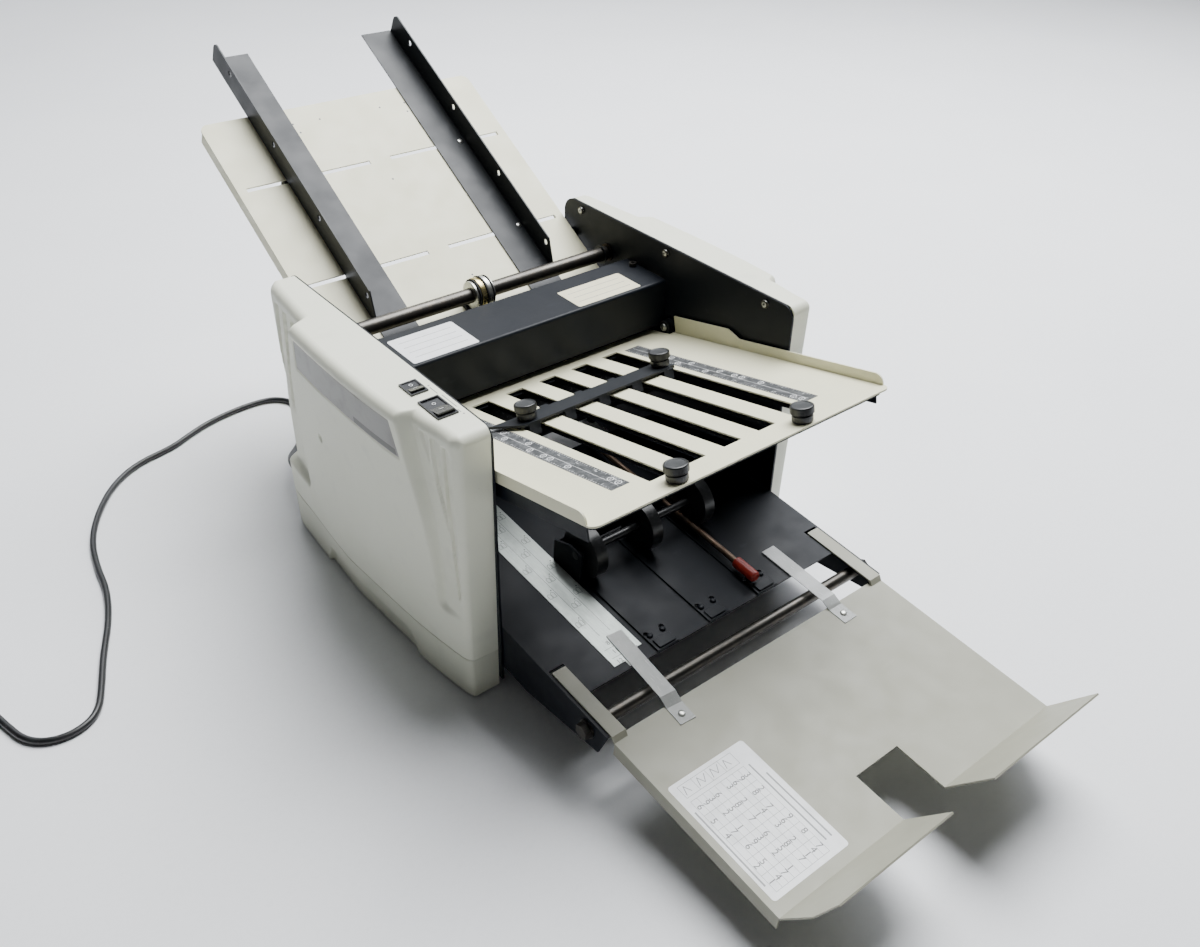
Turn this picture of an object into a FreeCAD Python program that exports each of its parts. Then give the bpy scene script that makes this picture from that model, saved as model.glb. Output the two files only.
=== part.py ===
import FreeCAD, Part
import math
import os
import Sketcher

# Desktop paper folding machine, in millimetres.
# X runs across the machine, -Y is the front where folded sheets come out, +Z is up.
# The driving dimensions are the cells of one sheet. Angles are in degrees.

SIZES = {
    # side plates and what passes through them
    "inner_half": 168.0,
    "plate_wall": 2.0,
    "plate_front": 131.0,
    "plate_back": 222.5,
    "plate_foot": 14.0,
    "plate_top": 286.5,
    "plate_front_round": 13.0,
    "plate_back_round": 18.0,
    "shaft_radius": 6.0,
    "bush_wall": 2.0,
    "bush_rim": 2.0,
    "bush_flange": 1.5,
    "running_gap": 0.05,
    "seat_gap": 0.02,
    "touch_gap": 0.3,
    # feed shaft, wheel and separator pad
    "feed_back": 144.0,
    "feed_up": 244.5,
    "feed_height": 22.0,
    "tyre_radius": 17.5,
    "tyre_wide": 18.0,
    "hub_radius": 10.5,
    "hub_flange_radius": 14.5,
    "hub_flange": 3.0,
    "pad_wide": 26.0,
    "pad_long": 30.0,
    "pad_lead": 9.0,
    # fold rollers, gears, pulleys and belts
    "roller_radius": 16.0,
    "roller_gap": 0.3,
    "roller_end": 8.0,
    "roller_back": 82.0,
    "roller_up": 212.0,
    "first_turn": 104.4,
    "second_turn": 137.8,
    "third_turn": 75.6,
    "gear_teeth": 23.0,
    "gear_wide": 8.0,
    "gear_set": 3.0,
    "gear_play": 0.1,
    "pulley_set": 14.0,
    "belt_wide": 8.0,
    "belt_wall": 1.5,
    "pulley_rim": 1.2,
    "drive_pulley_radius": 19.2,
    "motor_pulley_radius": 8.0,
    "feed_pulley_radius": 12.0,
    "shaft_stub": 2.0,
    # motor
    "motor_back": 150.0,
    "motor_down": 84.0,
    "motor_radius": 37.5,
    "motor_long": 100.0,
    "motor_face": 4.0,
    "motor_shaft_radius": 5.0,
    "motor_nose": 12.0,
    # bars that tie the plates
    "bar_radius": 6.0,
    "bar_side": 10.0,
    "front_bar_y": 90.0,
    "back_bar_y": 205.0,
    "low_bar_z": 24.0,
    "pad_bar_down": 30.0,
    "table_bar_up": 55.0,
    # feed table
    "feed_slope": 30.2,
    "sheet": 1.5,
    "feed_side_gap": 4.1,
    "feed_rise": 298.0,
    "feed_tail": 48.0,
    "feed_flange": 14.0,
    "feed_flange_start": 80.0,
    "feed_round": 9.0,
    "slot_wide": 5.0,
    "slot_inner": 12.5,
    "slot_edge": 9.9,
    "upper_slot": 205.9,
    "lower_slot": 77.0,
    # paper guides
    "guide_outer": 110.0,
    "guide_leg": 40.0,
    "guide_high": 26.5,
    "guide_over": 84.0,
    "guide_taper": 26.0,
    "guide_taper_end": 10.0,
    "guide_tail": 14.0,
    "guide_hole": 3.2,
    "guide_hole_pitch": 101.5,
    "guide_hole_end": 40.0,
    "guide_hole_up": 18.0,
    "stud_radius": 2.3,
    "stud_outer": 5.0,
    "stud_inner": 30.5,
    "stud_collar": 4.0,
    "stud_long": 12.0,
    "slide_gap": 0.2,
    # knobs
    "knob_radius": 10.0,
    "knob_ring": 9.0,
    "knob_neck": 6.8,
    "knob_high": 15.0,
    "knob_disc": 5.5,
    "knob_groove": 3.0,
    "knob_dish": 0.8,
    "knob_dish_radius": 7.0,
    # roller cover
    "hood_side_gap": 2.0,
    "hood_front": 43.1,
    "hood_back": 110.7,
    "hood_rise": 38.5,
    "hood_front_drop": 50.5,
    "hood_back_drop": 16.0,
    "hood_round": 3.0,
    "hood_screw_y": 90.6,
    "hood_screw_in": 6.6,
    "screw_radius": 4.0,
    "screw_head": 2.2,
    "screw_shank": 2.0,
    "screw_long": 8.0,
    "screw_slot": 1.2,
    "screw_dip": 1.4,
    "plate_screw_z": 277.8,
    "plate_screw_front": 95.3,
    "plate_screw_middle": 48.6,
    "plate_screw_back": 191.3,
    # upper fold table and the lower plate under it
    "fold_slope": 13.2,
    "fold_mouth_y": 35.7,
    "fold_mouth_down": 17.1,
    "fold_side_gap": 2.6,
    "fold_front": 296.3,
    "fold_tail": 20.0,
    "fold_waist": 8.0,
    "fold_waist_start": 12.0,
    "fold_gap": 3.0,
    "fold_slot_wide": 19.5,
    "fold_slot_pitch": 39.6,
    "fold_slot_start": 6.4,
    "fold_slot_end": 269.8,
    "fold_flange": 10.0,
    "fold_flange_high": 18.0,
    "fold_flange_back": 14.0,
    "fold_step_back": 95.2,
    "fold_step_front": 110.6,
    "fold_round": 8.0,
    "under_side_gap": 3.4,
    "under_flange": 13.0,
    "under_front": 291.0,
    "rail_wide": 5.0,
    "rail_in": 6.0,
    "pivot_forward": 2.4,
    "pivot_up": 5.7,
    "boss_radius": 7.0,
    "boss_pin": 3.0,
    "boss_head": 2.0,
    "ear_radius": 6.5,
    # stop bar on the fold table
    "stop_front": 100.3,
    "stop_deep": 22.6,
    "stop_half": 84.0,
    "stop_tip": 22.5,
    "stop_tip_deep": 24.0,
    "stop_raise": 3.0,
    "stop_wall": 2.0,
    "stop_nub": 4.0,
    "stop_nub_wide": 8.0,
    "stop_side": 6.0,
    "runner_lap": 3.0,
    "finger_wide": 12.0,
    "finger_tab": 6.0,
    "finger_drop": 7.4,
    "knob_stud": 2.4,
    "stop_knob_x": 79.0,
    "stop_knob_back": 12.0,
    "front_knob_in": 10.5,
    "front_knob_left": 74.5,
    "front_knob_right": 65.0,
    # exit deck, front rod and scale strip
    "deck_slope": 4.6,
    "deck_front": 233.0,
    "deck_up": 70.0,
    "deck_back": 273.0,
    "deck_notch_gap": 0.1,
    "ledge_long": 46.1,
    "deck_flange": 48.0,
    "deck_flange_front": 28.0,
    "deck_flange_full": 62.0,
    "deck_flange_slant": 9.0,
    "track_wide": 24.5,
    "track_pitch": 61.5,
    "track_long": 131.5,
    "track_raise": 2.0,
    "track_hole": 2.6,
    "track_hole_pitch": 9.0,
    "track_hole_in": 21.0,
    "hook_slot": 9.0,
    "hook_slot_in": 28.0,
    "rod_forward": 22.1,
    "rod_down": 12.3,
    "rod_radius": 6.0,
    "bolt_radius": 4.0,
    "bolt_grip": 14.0,
    "bolt_head": 6.0,
    "bolt_flats": 13.0,
    "washer_radius": 9.0,
    "washer_wall": 1.5,
    "scale_in": 80.0,
    "scale_wide": 36.0,
    "scale_front": 1.5,
    "scale_back": 262.0,
    "scale_wall": 0.8,
    "scale_chamfer": 12.0,
    "scale_step": 7.0,
    # stacker
    "stack_back": 115.4,
    "stack_radius": 25.5,
    "stack_gap": 0.4,
    "stack_wide": 12.0,
    "stack_pitch": 66.0,
    "stack_hub": 9.0,
    "stack_axle": 4.0,
    "stack_arm": 2.5,
    "stack_arm_gap": 4.3,
    "stack_arm_high": 34.0,
    "stack_bar_back": 29.0,
    "stack_bar_high": 21.0,
    "stack_bar_low": 3.0,
    "pull_radius": 3.25,
    "pull_up": 10.0,
    "pull_x": 55.0,
    "pull_front": 20.0,
    "pull_back": 262.0,
    "cap_radius": 5.6,
    "cap_long": 27.0,
    "cap_depth": 18.0,
    "cap_round": 2.5,
    # catch tray and its clear strips
    "tray_side_gap": 3.4,
    "tray_drop": 3.2,
    "tray_back": 47.0,
    "tray_fold": 237.6,
    "tray_notch_left": 27.0,
    "tray_notch_right": 23.6,
    "tray_notch_back": 188.5,
    "tray_flange": 14.0,
    "tray_step": 5.0,
    "tray_arm_back": 33.0,
    "tray_arm_wide": 14.0,
    "tray_hook": 3.6,
    "lip_rise": 56.8,
    "lip_long": 57.0,
    "lip_chamfer": 14.0,
    "strip_half": 8.0,
    "strip_wall": 0.8,
    "strip_x": 100.4,
    "strip_skew": 4.2,
    "strip_shift": 5.0,
    "strip_front": 70.0,
    "strip_flat": 20.0,
    "strip_ramp": 10.0,
    "strip_back": 39.0,
    "strip_float": 1.1,
    # second fold table
    "second_slope": 12.0,
    "second_y": 88.0,
    "second_mouth_down": 66.0,
    "second_long": 200.0,
    "second_side_gap": 8.0,
    "second_slot_start": 40.0,
    "second_slot_end": 190.0,
    "second_slot_wide": 13.0,
    "second_slot_pitch": 60.0,
    "second_bar_first": 30.0,
    "second_bar_last": 110.0,
    "second_stop_at": 150.0,
    "second_stop_long": 14.0,
    "second_stop_half": 100.0,
    # plastic covers and their bases
    "left_depth": 56.0,
    "right_depth": 45.0,
    "cover_wall": 3.0,
    "cover_seam": 48.0,
    "cover_top": 287.0,
    "cover_round": 9.0,
    "cover_front": 131.0,
    "cover_back": 213.0,
    "lobe_depth": 12.5,
    "valley_depth": 13.8,
    "valley_foot": 101.0,
    "vent_wide": 5.0,
    "vent_pitch": 13.0,
    "vent_low": 180.0,
    "vent_high": 262.0,
    "vent_y": 166.0,
    "base_foot": 1.2,
    "base_floor": 4.0,
    "arch_front": 33.0,
    "arch_back": 118.0,
    "arch_high": 29.0,
    "arch_slant": 16.0,
    "arch_deep": 2.0,
    "foot_radius": 6.5,
    "foot_in": 11.0,
    "foot_end": 30.0,
    # switches on the left cover
    "switch_in": 16.6,
    "small_switch_y": 43.5,
    "small_switch_long": 21.0,
    "small_switch_wide": 16.0,
    "large_switch_y": 81.2,
    "large_switch_long": 31.5,
    "large_switch_wide": 19.0,
    "bezel_rim": 1.5,
    "bezel_raise": 1.5,
    "bezel_depth": 16.0,
    "bezel_wall": 0.8,
    "rocker_gap": 0.3,
    "rocker_rise": 5.5,
    "rocker_dip": 1.2,
    "rocker_deep": 7.0,
    "rocker_tilt": 7.0,
    "rocker_pin": 1.4,
    # cord, strain relief and plug
    "cord_diameter": 6.5,
    "gland_in": 10.0,
    "gland_z": 32.0,
    "gland_radius": 8.0,
    "gland_tip": 5.0,
    "gland_long": 32.0,
    "gland_neck": 6.0,
    "gland_flange": 2.5,
    "coil_pitch": 7.0,
    "coil_inner": 29.0,
    "coil_tail": 28.0,
    "cord_lift": 0.25,
    "coil_lift": 1.2,
    "tie_wide": 8.0,
    "tie_wall": 0.8,
    "tie_gap": 0.3,
    "tie_inner_gap": 0.8,
    "tie_round": 3.0,
    "plug_wide": 24.0,
    "plug_high": 20.0,
    "plug_long": 34.0,
    "plug_taper": 12.0,
    "plug_round": 4.0,
    "blade_long": 17.0,
    "blade_wide": 6.3,
    "blade_wall": 1.5,
    "blade_pitch": 12.7,
    "blade_up": 0.5,
    "earth_radius": 2.4,
    "earth_drop": 5.0,
}

doc = FreeCAD.newDocument("folding_machine")
sheet = doc.addObject("Spreadsheet::Sheet", "Sizes")
for row, (name, number) in enumerate(SIZES.items(), start=1):
    sheet.set(f"A{row}", name)
    sheet.set(f"B{row}", str(number))
    sheet.setAlias(f"B{row}", name)
doc.recompute()


def value_of(item):
    return item.value if isinstance(item, Size) else float(item)


def text_of(item):
    return item.text if isinstance(item, Size) else str(item)


class Size:
    """A length or an angle, with the expression that works it out from the sheet."""

    def __init__(self, value, text):
        self.value = value
        self.text = text

    def __add__(self, other):
        return Size(self.value + value_of(other), f"({self.text} + {text_of(other)})")

    def __radd__(self, other):
        return Size(value_of(other) + self.value, f"({text_of(other)} + {self.text})")

    def __sub__(self, other):
        return Size(self.value - value_of(other), f"({self.text} - {text_of(other)})")

    def __rsub__(self, other):
        return Size(value_of(other) - self.value, f"({text_of(other)} - {self.text})")

    def __mul__(self, other):
        return Size(self.value * value_of(other), f"({self.text} * {text_of(other)})")

    def __rmul__(self, other):
        return Size(value_of(other) * self.value, f"({text_of(other)} * {self.text})")

    def __truediv__(self, other):
        return Size(self.value / value_of(other), f"({self.text} / {text_of(other)})")

    def __neg__(self):
        return Size(-self.value, f"(0 - {self.text})")


def sin_of(angle):
    return Size(math.sin(math.radians(angle.value)), f"sin({angle.text})")


def cos_of(angle):
    return Size(math.cos(math.radians(angle.value)), f"cos({angle.text})")


class Sheet:
    """The sheet's cells by name."""


size = Sheet()
for name in SIZES:
    setattr(size, name, Size(float(sheet.get(name)), f"Sizes.{name}"))

plate_outer = size.inner_half + size.plate_wall

# The tables, the roller cover and the tray follow the room between the plates.
feed_half = size.inner_half - size.feed_side_gap
slot_outer = feed_half - size.slot_edge
hood_half = size.inner_half - size.hood_side_gap
fold_half = size.inner_half - size.fold_side_gap
under_half = fold_half - size.under_side_gap
tray_half = size.inner_half - size.tray_side_gap
deck_notch_half = tray_half - size.tray_arm_wide - size.deck_notch_gap
second_half = size.inner_half - size.second_side_gap

# The cover, both fold tables and the motor follow the height of the top roller.
hood_top = size.roller_up + size.hood_rise
hood_front_foot = hood_top - size.hood_front_drop
fold_mouth_z = size.roller_up - size.fold_mouth_down
second_z = size.roller_up - size.second_mouth_down
motor_up = second_z - size.motor_down
ORIGIN = FreeCAD.Vector(0, 0, 0)
X_AXIS = FreeCAD.Vector(1, 0, 0)
Y_AXIS = FreeCAD.Vector(0, 1, 0)
Z_AXIS = FreeCAD.Vector(0, 0, 1)
RIGHT_ANGLE = 90
FULL_TURN = 360


none = Size(0.0, "0")
UPWARD, DOWNWARD = X_AXIS, -X_AXIS


class Place:
    """A local frame: its origin in the YZ plane and its turn, up or down towards the back."""

    def __init__(self, back, up, angle=none, axis=UPWARD):
        self.back = back
        self.up = up
        self.angle = angle
        self.axis = axis

    def spot(self, along, high):
        """The machine's Y and Z of a point given in the local frame."""
        if self.angle is none:
            return self.back + along, self.up + high
        rise = sin_of(self.angle) if self.axis == UPWARD else -sin_of(self.angle)
        level = cos_of(self.angle)
        return self.back + along * level - high * rise, self.up + along * rise + high * level


machine = Place(none, none)
feed_place = Place(
    size.feed_back + size.feed_height * sin_of(size.feed_slope),
    size.feed_up - size.feed_height * cos_of(size.feed_slope),
    size.feed_slope,
)
fold_place = Place(size.fold_mouth_y, fold_mouth_z, size.fold_slope, DOWNWARD)
deck_place = Place(-size.deck_front, size.deck_up, size.deck_slope)
second_place = Place(size.second_y, second_z, size.second_slope, DOWNWARD)

# The origin is at the middle of the machine's outer box, on the surface it stands on.
guide_top_y = feed_place.spot(size.feed_rise + size.guide_over, size.slide_gap)[0]
lip_turn = size.lip_rise - size.deck_slope
lip_foot_y = deck_place.spot(-size.tray_fold, -size.tray_drop)[0]
lip_edge_y = lip_foot_y - size.lip_long * cos_of(lip_turn) - size.sheet * sin_of(lip_turn)
middle_x = (size.right_depth - size.left_depth) / 2
middle_y = (guide_top_y + lip_edge_y) / 2

nodes = {}


def bind(item, **sizes):
    for name, length in sizes.items():
        if isinstance(length, Size):
            item.setExpression(name, length.text)
        else:
            setattr(item, name, length)


def bind_base(item, path, spot):
    for letter, length in zip("xyz", spot):
        if isinstance(length, Size):
            item.setExpression(f"{path}.{letter}", length.text)


def node(item, label, place=machine, spot=(none, none, none)):
    """Names a sub-part and puts its local frame where it belongs on the machine."""
    item.Label = label
    back, up = place.spot(spot[1], spot[2])
    item.Placement = FreeCAD.Placement(ORIGIN, FreeCAD.Rotation(place.axis, place.angle.value))
    bind_base(item, "Placement.Base", (spot[0] - middle_x, back - middle_y, up))
    if place.angle is not none:
        item.setExpression("Placement.Rotation.Angle", place.angle.text)
    nodes[label] = item
    return item


# Sketches: each corner is pinned by bound distances from the sketch's origin.

HORIZONTAL = "DistanceX"
VERTICAL = "DistanceY"


def pin(sketch, geometry, point, spot):
    for kind, length in zip((HORIZONTAL, VERTICAL), spot):
        row = sketch.addConstraint(Sketcher.Constraint(kind, -1, 1, geometry, point, value_of(length)))
        if isinstance(length, Size):
            sketch.setExpression(f"Constraints[{row}]", length.text)


def draw_circle(sketch, spot, radius):
    centre = FreeCAD.Vector(value_of(spot[0]), value_of(spot[1]), 0)
    circle = sketch.addGeometry(Part.Circle(centre, Z_AXIS, radius.value), False)
    pin(sketch, circle, 3, spot)
    row = sketch.addConstraint(Sketcher.Constraint("Radius", circle, radius.value))
    sketch.setExpression(f"Constraints[{row}]", radius.text)


def draw_outline(sketch, points):
    """A closed outline. A corner with a third entry is rounded to that radius."""
    count = len(points)
    corners = [FreeCAD.Vector(value_of(p[0]), value_of(p[1]), 0) for p in points]
    enters, leaves, centres = [], [], []
    for i, corner in enumerate(corners):
        back = (corners[i - 1] - corner).normalize()
        ahead = (corners[(i + 1) % count] - corner).normalize()
        if len(points[i]) == 2:
            enters.append(corner)
            leaves.append(corner)
            centres.append(None)
            continue
        radius = points[i][2].value
        half = back.getAngle(ahead) / 2
        enters.append(corner + back * (radius / math.tan(half)))
        leaves.append(corner + ahead * (radius / math.tan(half)))
        centres.append(corner + (back + ahead).normalize() * (radius / math.sin(half)))
    lines = sketch.addGeometry(
        [Part.LineSegment(leaves[i], enters[(i + 1) % count]) for i in range(count)], False
    )
    for i, corner in enumerate(corners):
        before, after = lines[i - 1], lines[i]
        if centres[i] is None:
            sketch.addConstraint(Sketcher.Constraint("Coincident", before, 2, after, 1))
            pin(sketch, after, 1, points[i])
            continue
        radius = points[i][2]
        arm_in, arm_out = enters[i] - centres[i], leaves[i] - centres[i]
        left = arm_in.cross(arm_out).z > 0
        first, last = (arm_in, arm_out) if left else (arm_out, arm_in)
        start, end = math.atan2(first.y, first.x), math.atan2(last.y, last.x)
        circle = Part.Circle(centres[i], Z_AXIS, radius.value)
        arc = sketch.addGeometry(Part.ArcOfCircle(circle, start, end), False)
        sketch.addConstraint(Sketcher.Constraint("Tangent", before, 2, arc, 1 if left else 2))
        sketch.addConstraint(Sketcher.Constraint("Tangent", arc, 2 if left else 1, after, 1))
        row = sketch.addConstraint(Sketcher.Constraint("Radius", arc, radius.value))
        sketch.setExpression(f"Constraints[{row}]", radius.text)
        spot = sketch.addGeometry(Part.Point(corner), True)
        pin(sketch, spot, 1, points[i])
        sketch.addConstraint(Sketcher.Constraint("PointOnObject", spot, 1, before))
        sketch.addConstraint(Sketcher.Constraint("PointOnObject", spot, 1, after))


def draw(sketch, outlines, circles):
    for points in outlines:
        draw_outline(sketch, points)
    for spot, radius in circles:
        draw_circle(sketch, spot, radius)


def rectangle(low_x, high_x, low_y, high_y):
    return [(low_x, low_y), (high_x, low_y), (high_x, high_y), (low_x, high_y)]


def rounded(low_x, high_x, low_y, high_y, radius):
    return [(x, y, radius) for x, y in rectangle(low_x, high_x, low_y, high_y)]


# Bodies: pads, pockets and turned pieces.


def new_body(name):
    return doc.addObject("PartDesign::Body", name)


def body_sketch(body, plane, level, outlines, circles=()):
    support = [item for item in body.Origin.OriginFeatures if item.Role == plane][0]
    sketch = body.newObject("Sketcher::SketchObject", f"{body.Name}_sketch")
    sketch.AttachmentSupport = [(support, "")]
    sketch.MapMode = "FlatFace"
    bind_base(sketch, "AttachmentOffset.Base", (0, 0, level))
    draw(sketch, outlines, circles)
    return sketch


def pad(body, plane, low, high, outlines, circles=()):
    sketch = body_sketch(body, plane, low, outlines, circles)
    feature = body.newObject("PartDesign::Pad", f"{body.Name}_pad")
    feature.Profile = sketch
    bind(feature, Length=high - low)
    doc.recompute([feature])
    return feature


pockets = []


def pocket(body, plane, high, low, outlines, circles=()):
    sketch = body_sketch(body, plane, high, outlines, circles)
    feature = body.newObject("PartDesign::Pocket", f"{body.Name}_pocket")
    feature.Profile = sketch
    bind(feature, Length=high - low)
    doc.recompute([feature])
    pockets.append(feature)
    return feature


def turned(name, plane, axis, points):
    """A turned piece: its half profile goes once round the named sketch axis."""
    body = new_body(name)
    sketch = body_sketch(body, plane, none, [points])
    feature = body.newObject("PartDesign::Revolution", f"{name}_turn")
    feature.Profile = sketch
    feature.ReferenceAxis = (sketch, [axis])
    feature.Angle = FULL_TURN
    return body


def turned_along_x(name, steps):
    """A shaft along X from steps of (start, end, radius)."""
    points = [(steps[0][0], none)]
    for start, end, radius in steps:
        points.append((start, radius))
        points.append((end, radius))
    points.append((steps[-1][1], none))
    return turned(name, "XY_Plane", "H_Axis", points)


def ring_along_x(name, low, high, inner, outer):
    return turned(name, "XY_Plane", "H_Axis", rectangle(low, high, inner, outer))


# Loose solids that are joined, cut or grouped into one sub-part.

TURNS = {
    "x": FreeCAD.Rotation(Y_AXIS, RIGHT_ANGLE),
    "y": FreeCAD.Rotation(X_AXIS, -RIGHT_ANGLE),
    "z": FreeCAD.Rotation(),
}


def block(low, high):
    """A box between two corners."""
    item = doc.addObject("Part::Box", "block")
    bind_base(item, "Placement.Base", low)
    bind(item, Length=high[0] - low[0], Width=high[1] - low[1], Height=high[2] - low[2])
    return item


def round_bar(axis, start, length, radius):
    item = doc.addObject("Part::Cylinder", "bar")
    item.Placement = FreeCAD.Placement(ORIGIN, TURNS[axis])
    bind_base(item, "Placement.Base", start)
    bind(item, Radius=radius, Height=length)
    return item


def hexagon(axis, start, length, across):
    item = doc.addObject("Part::Prism", "hexagon")
    item.Placement = FreeCAD.Placement(ORIGIN, TURNS[axis])
    bind_base(item, "Placement.Base", start)
    bind(item, Polygon=6, Circumradius=across / math.sqrt(3), Height=length)
    return item


YZ_TURN = FreeCAD.Rotation(0.5, 0.5, 0.5, 0.5)


def slab(plane, low, high, outlines, circles=()):
    """A flat piece drawn on the XY or YZ plane, from one level to another."""
    sketch = doc.addObject("Sketcher::SketchObject", "outline")
    along_x = plane == "YZ_Plane"
    sketch.Placement = FreeCAD.Placement(ORIGIN, YZ_TURN if along_x else TURNS["z"])
    bind_base(sketch, "Placement.Base", (low, 0, 0) if along_x else (0, 0, low))
    draw(sketch, outlines, circles)
    item = doc.addObject("Part::Extrusion", "slab")
    item.Base = sketch
    item.DirMode = "Custom"
    item.Dir = X_AXIS if along_x else Z_AXIS
    item.Solid = True
    bind(item, LengthFwd=high - low)
    return item


def join(items):
    item = doc.addObject("Part::MultiFuse", "joined")
    item.Shapes = items
    return item


def cut(base, tools):
    item = doc.addObject("Part::Cut", "cut")
    item.Base = base
    item.Tool = tools[0] if len(tools) == 1 else join(tools)
    return item


def group(items):
    item = doc.addObject("Part::Compound", "group")
    item.Links = items
    return item


def feature(shape):
    item = doc.addObject("Part::Feature", "shape")
    item.Shape = shape
    return item


def turned_feature(shape, spot, turn):
    """A shape turned about Z and set at a spot, inside a group that keeps its own place."""
    item = feature(shape)
    item.Placement = FreeCAD.Placement(spot, FreeCAD.Rotation(Z_AXIS, turn))
    return group([item])


SIDES = {"left": -1, "right": 1}

# Shaft places: the fold rollers stand one nip apart, each at its own turn from the last.

roller_step = size.roller_radius * 2 + size.roller_gap
ROLLERS = ("top", "middle", "lower", "exit")
roller_turns = (size.first_turn, size.second_turn, size.third_turn)
roller_spots = [(size.roller_back, size.roller_up)]
for turn in roller_turns:
    back, up = roller_spots[-1]
    roller_spots.append((back + roller_step * cos_of(turn), up - roller_step * sin_of(turn)))
feed_spot = (size.feed_back, size.feed_up)
motor_spot = (size.motor_back, motor_up)
bush_radius = size.shaft_radius + size.bush_wall
pivot_spot = fold_place.spot(-size.pivot_forward, size.pivot_up)


def side_plate(side):
    sign = SIDES[side]
    outline = [
        (-size.plate_front, size.plate_foot),
        (size.plate_back, size.plate_foot),
        (size.plate_back, size.plate_top, size.plate_back_round),
        (-size.plate_front, size.plate_top, size.plate_front_round),
    ]
    hole = bush_radius + size.seat_gap
    holes = [(spot, hole) for spot in roller_spots + [feed_spot]]
    if side == "left":
        holes.append((motor_spot, size.motor_shaft_radius + size.plate_wall))
    low = size.inner_half if sign > 0 else -plate_outer
    body = new_body(f"{side}_side_plate")
    pad(body, "YZ_Plane", low, low + size.plate_wall, [outline], holes)
    node(body, f"{side}_side_plate")


for side in SIDES:
    side_plate(side)


def shaft_bearings():
    """A flanged bush in each plate for every shaft end."""
    bushes = []
    bore = size.shaft_radius + size.running_gap
    flange_radius = bush_radius + size.bush_rim
    for back, up in roller_spots + [feed_spot]:
        for sign in SIDES.values():
            inner = sign * (size.inner_half - size.bush_flange)
            sleeve = size.bush_flange + size.plate_wall
            start = inner if sign > 0 else inner - sleeve
            rim = inner if sign > 0 else inner - size.bush_flange
            body = join(
                [
                    round_bar("x", (start, back, up), sleeve, bush_radius),
                    round_bar("x", (rim, back, up), size.bush_flange, flange_radius),
                ]
            )
            bushes.append(cut(body, [round_bar("x", (start, back, up), sleeve, bore)]))
    node(group(bushes), "shaft_bearings")


shaft_bearings()

# Feed shaft with its wheel: brass hub with two flanges, rubber tyre between them.

roller_reach = size.inner_half - size.roller_end
belt_inner = plate_outer + size.gear_set + size.pulley_rim
belt_outer = belt_inner + size.belt_wide
feed_shaft = turned_along_x(
    "feed_shaft",
    [
        (-(plate_outer + size.shaft_stub), belt_inner - size.pulley_rim, size.shaft_radius),
        (belt_inner - size.pulley_rim, belt_inner, size.feed_pulley_radius + size.pulley_rim),
        (belt_inner, belt_outer, size.feed_pulley_radius),
        (belt_outer, belt_outer + size.pulley_rim, size.feed_pulley_radius + size.pulley_rim),
    ],
)
node(feed_shaft, "feed_shaft", spot=(none, size.feed_back, size.feed_up))

half_tyre = size.tyre_wide / 2
flange_end = half_tyre + size.hub_flange
hub = turned(
    "feed_wheel_hub",
    "XY_Plane",
    "H_Axis",
    [
        (-flange_end, size.shaft_radius),
        (flange_end, size.shaft_radius),
        (flange_end, size.hub_flange_radius),
        (half_tyre, size.hub_flange_radius),
        (half_tyre, size.hub_radius),
        (-half_tyre, size.hub_radius),
        (-half_tyre, size.hub_flange_radius),
        (-flange_end, size.hub_flange_radius),
    ],
)
node(hub, "feed_wheel_hub", spot=(none, size.feed_back, size.feed_up))
tyre = ring_along_x("feed_wheel_tyre", -half_tyre, half_tyre, size.hub_radius, size.tyre_radius)
node(tyre, "feed_wheel_tyre", spot=(none, size.feed_back, size.feed_up))


def separator_pad():
    top = size.feed_height - size.tyre_radius - size.touch_gap
    half_long = size.pad_long / 2
    body = new_body("separator_pad")
    profile = [(-half_long, 0), (half_long, 0), (half_long - size.pad_lead, top), (-half_long, top)]
    pad(body, "YZ_Plane", -size.pad_wide / 2, size.pad_wide / 2, [profile])
    node(body, "separator_pad", feed_place)


separator_pad()

# Fold rollers. The top one ends in the feed belt's pulley, the middle one in the drive pulley.

gear_inner = plate_outer + size.gear_set
gear_outer = gear_inner + size.gear_wide
drive_inner = plate_outer + size.pulley_set
drive_outer = drive_inner + size.belt_wide
plain_end = plate_outer + size.shaft_stub


def fold_roller(name, spot):
    shaft = size.shaft_radius
    left = [(-(gear_outer + size.shaft_stub), -roller_reach, shaft)]
    right = [(roller_reach, plain_end, shaft)]
    if name == "middle":
        rim = size.drive_pulley_radius + size.pulley_rim
        left = [
            (-(drive_outer + size.pulley_rim), -drive_outer, rim),
            (-drive_outer, -drive_inner, size.drive_pulley_radius),
            (-drive_inner, -(drive_inner - size.pulley_rim), rim),
            (-(drive_inner - size.pulley_rim), -roller_reach, shaft),
        ]
    if name == "top":
        rim = size.feed_pulley_radius + size.pulley_rim
        right = [
            (roller_reach, belt_inner - size.pulley_rim, shaft),
            (belt_inner - size.pulley_rim, belt_inner, rim),
            (belt_inner, belt_outer, size.feed_pulley_radius),
            (belt_outer, belt_outer + size.pulley_rim, rim),
        ]
    steps = left + [(-roller_reach, roller_reach, size.roller_radius)] + right
    label = f"fold_roller_{name}"
    node(turned_along_x(label, steps), label, spot=(none, *spot))


for name, spot in zip(ROLLERS, roller_spots):
    fold_roller(name, spot)

# Gears: equal spur gears, one on each fold roller, each in mesh with the next.

PRESSURE_ANGLE = 20
ADDENDUM_SHARE = 0.9
DEDENDUM_SHARE = 1.15
FLANK_STEP_SHARES = (0.0, 0.35, 0.7, 1.0)


def involute_angle(radius, base):
    roll = math.sqrt(max(radius * radius / (base * base) - 1, 0))
    return roll - math.atan(roll)


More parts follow.
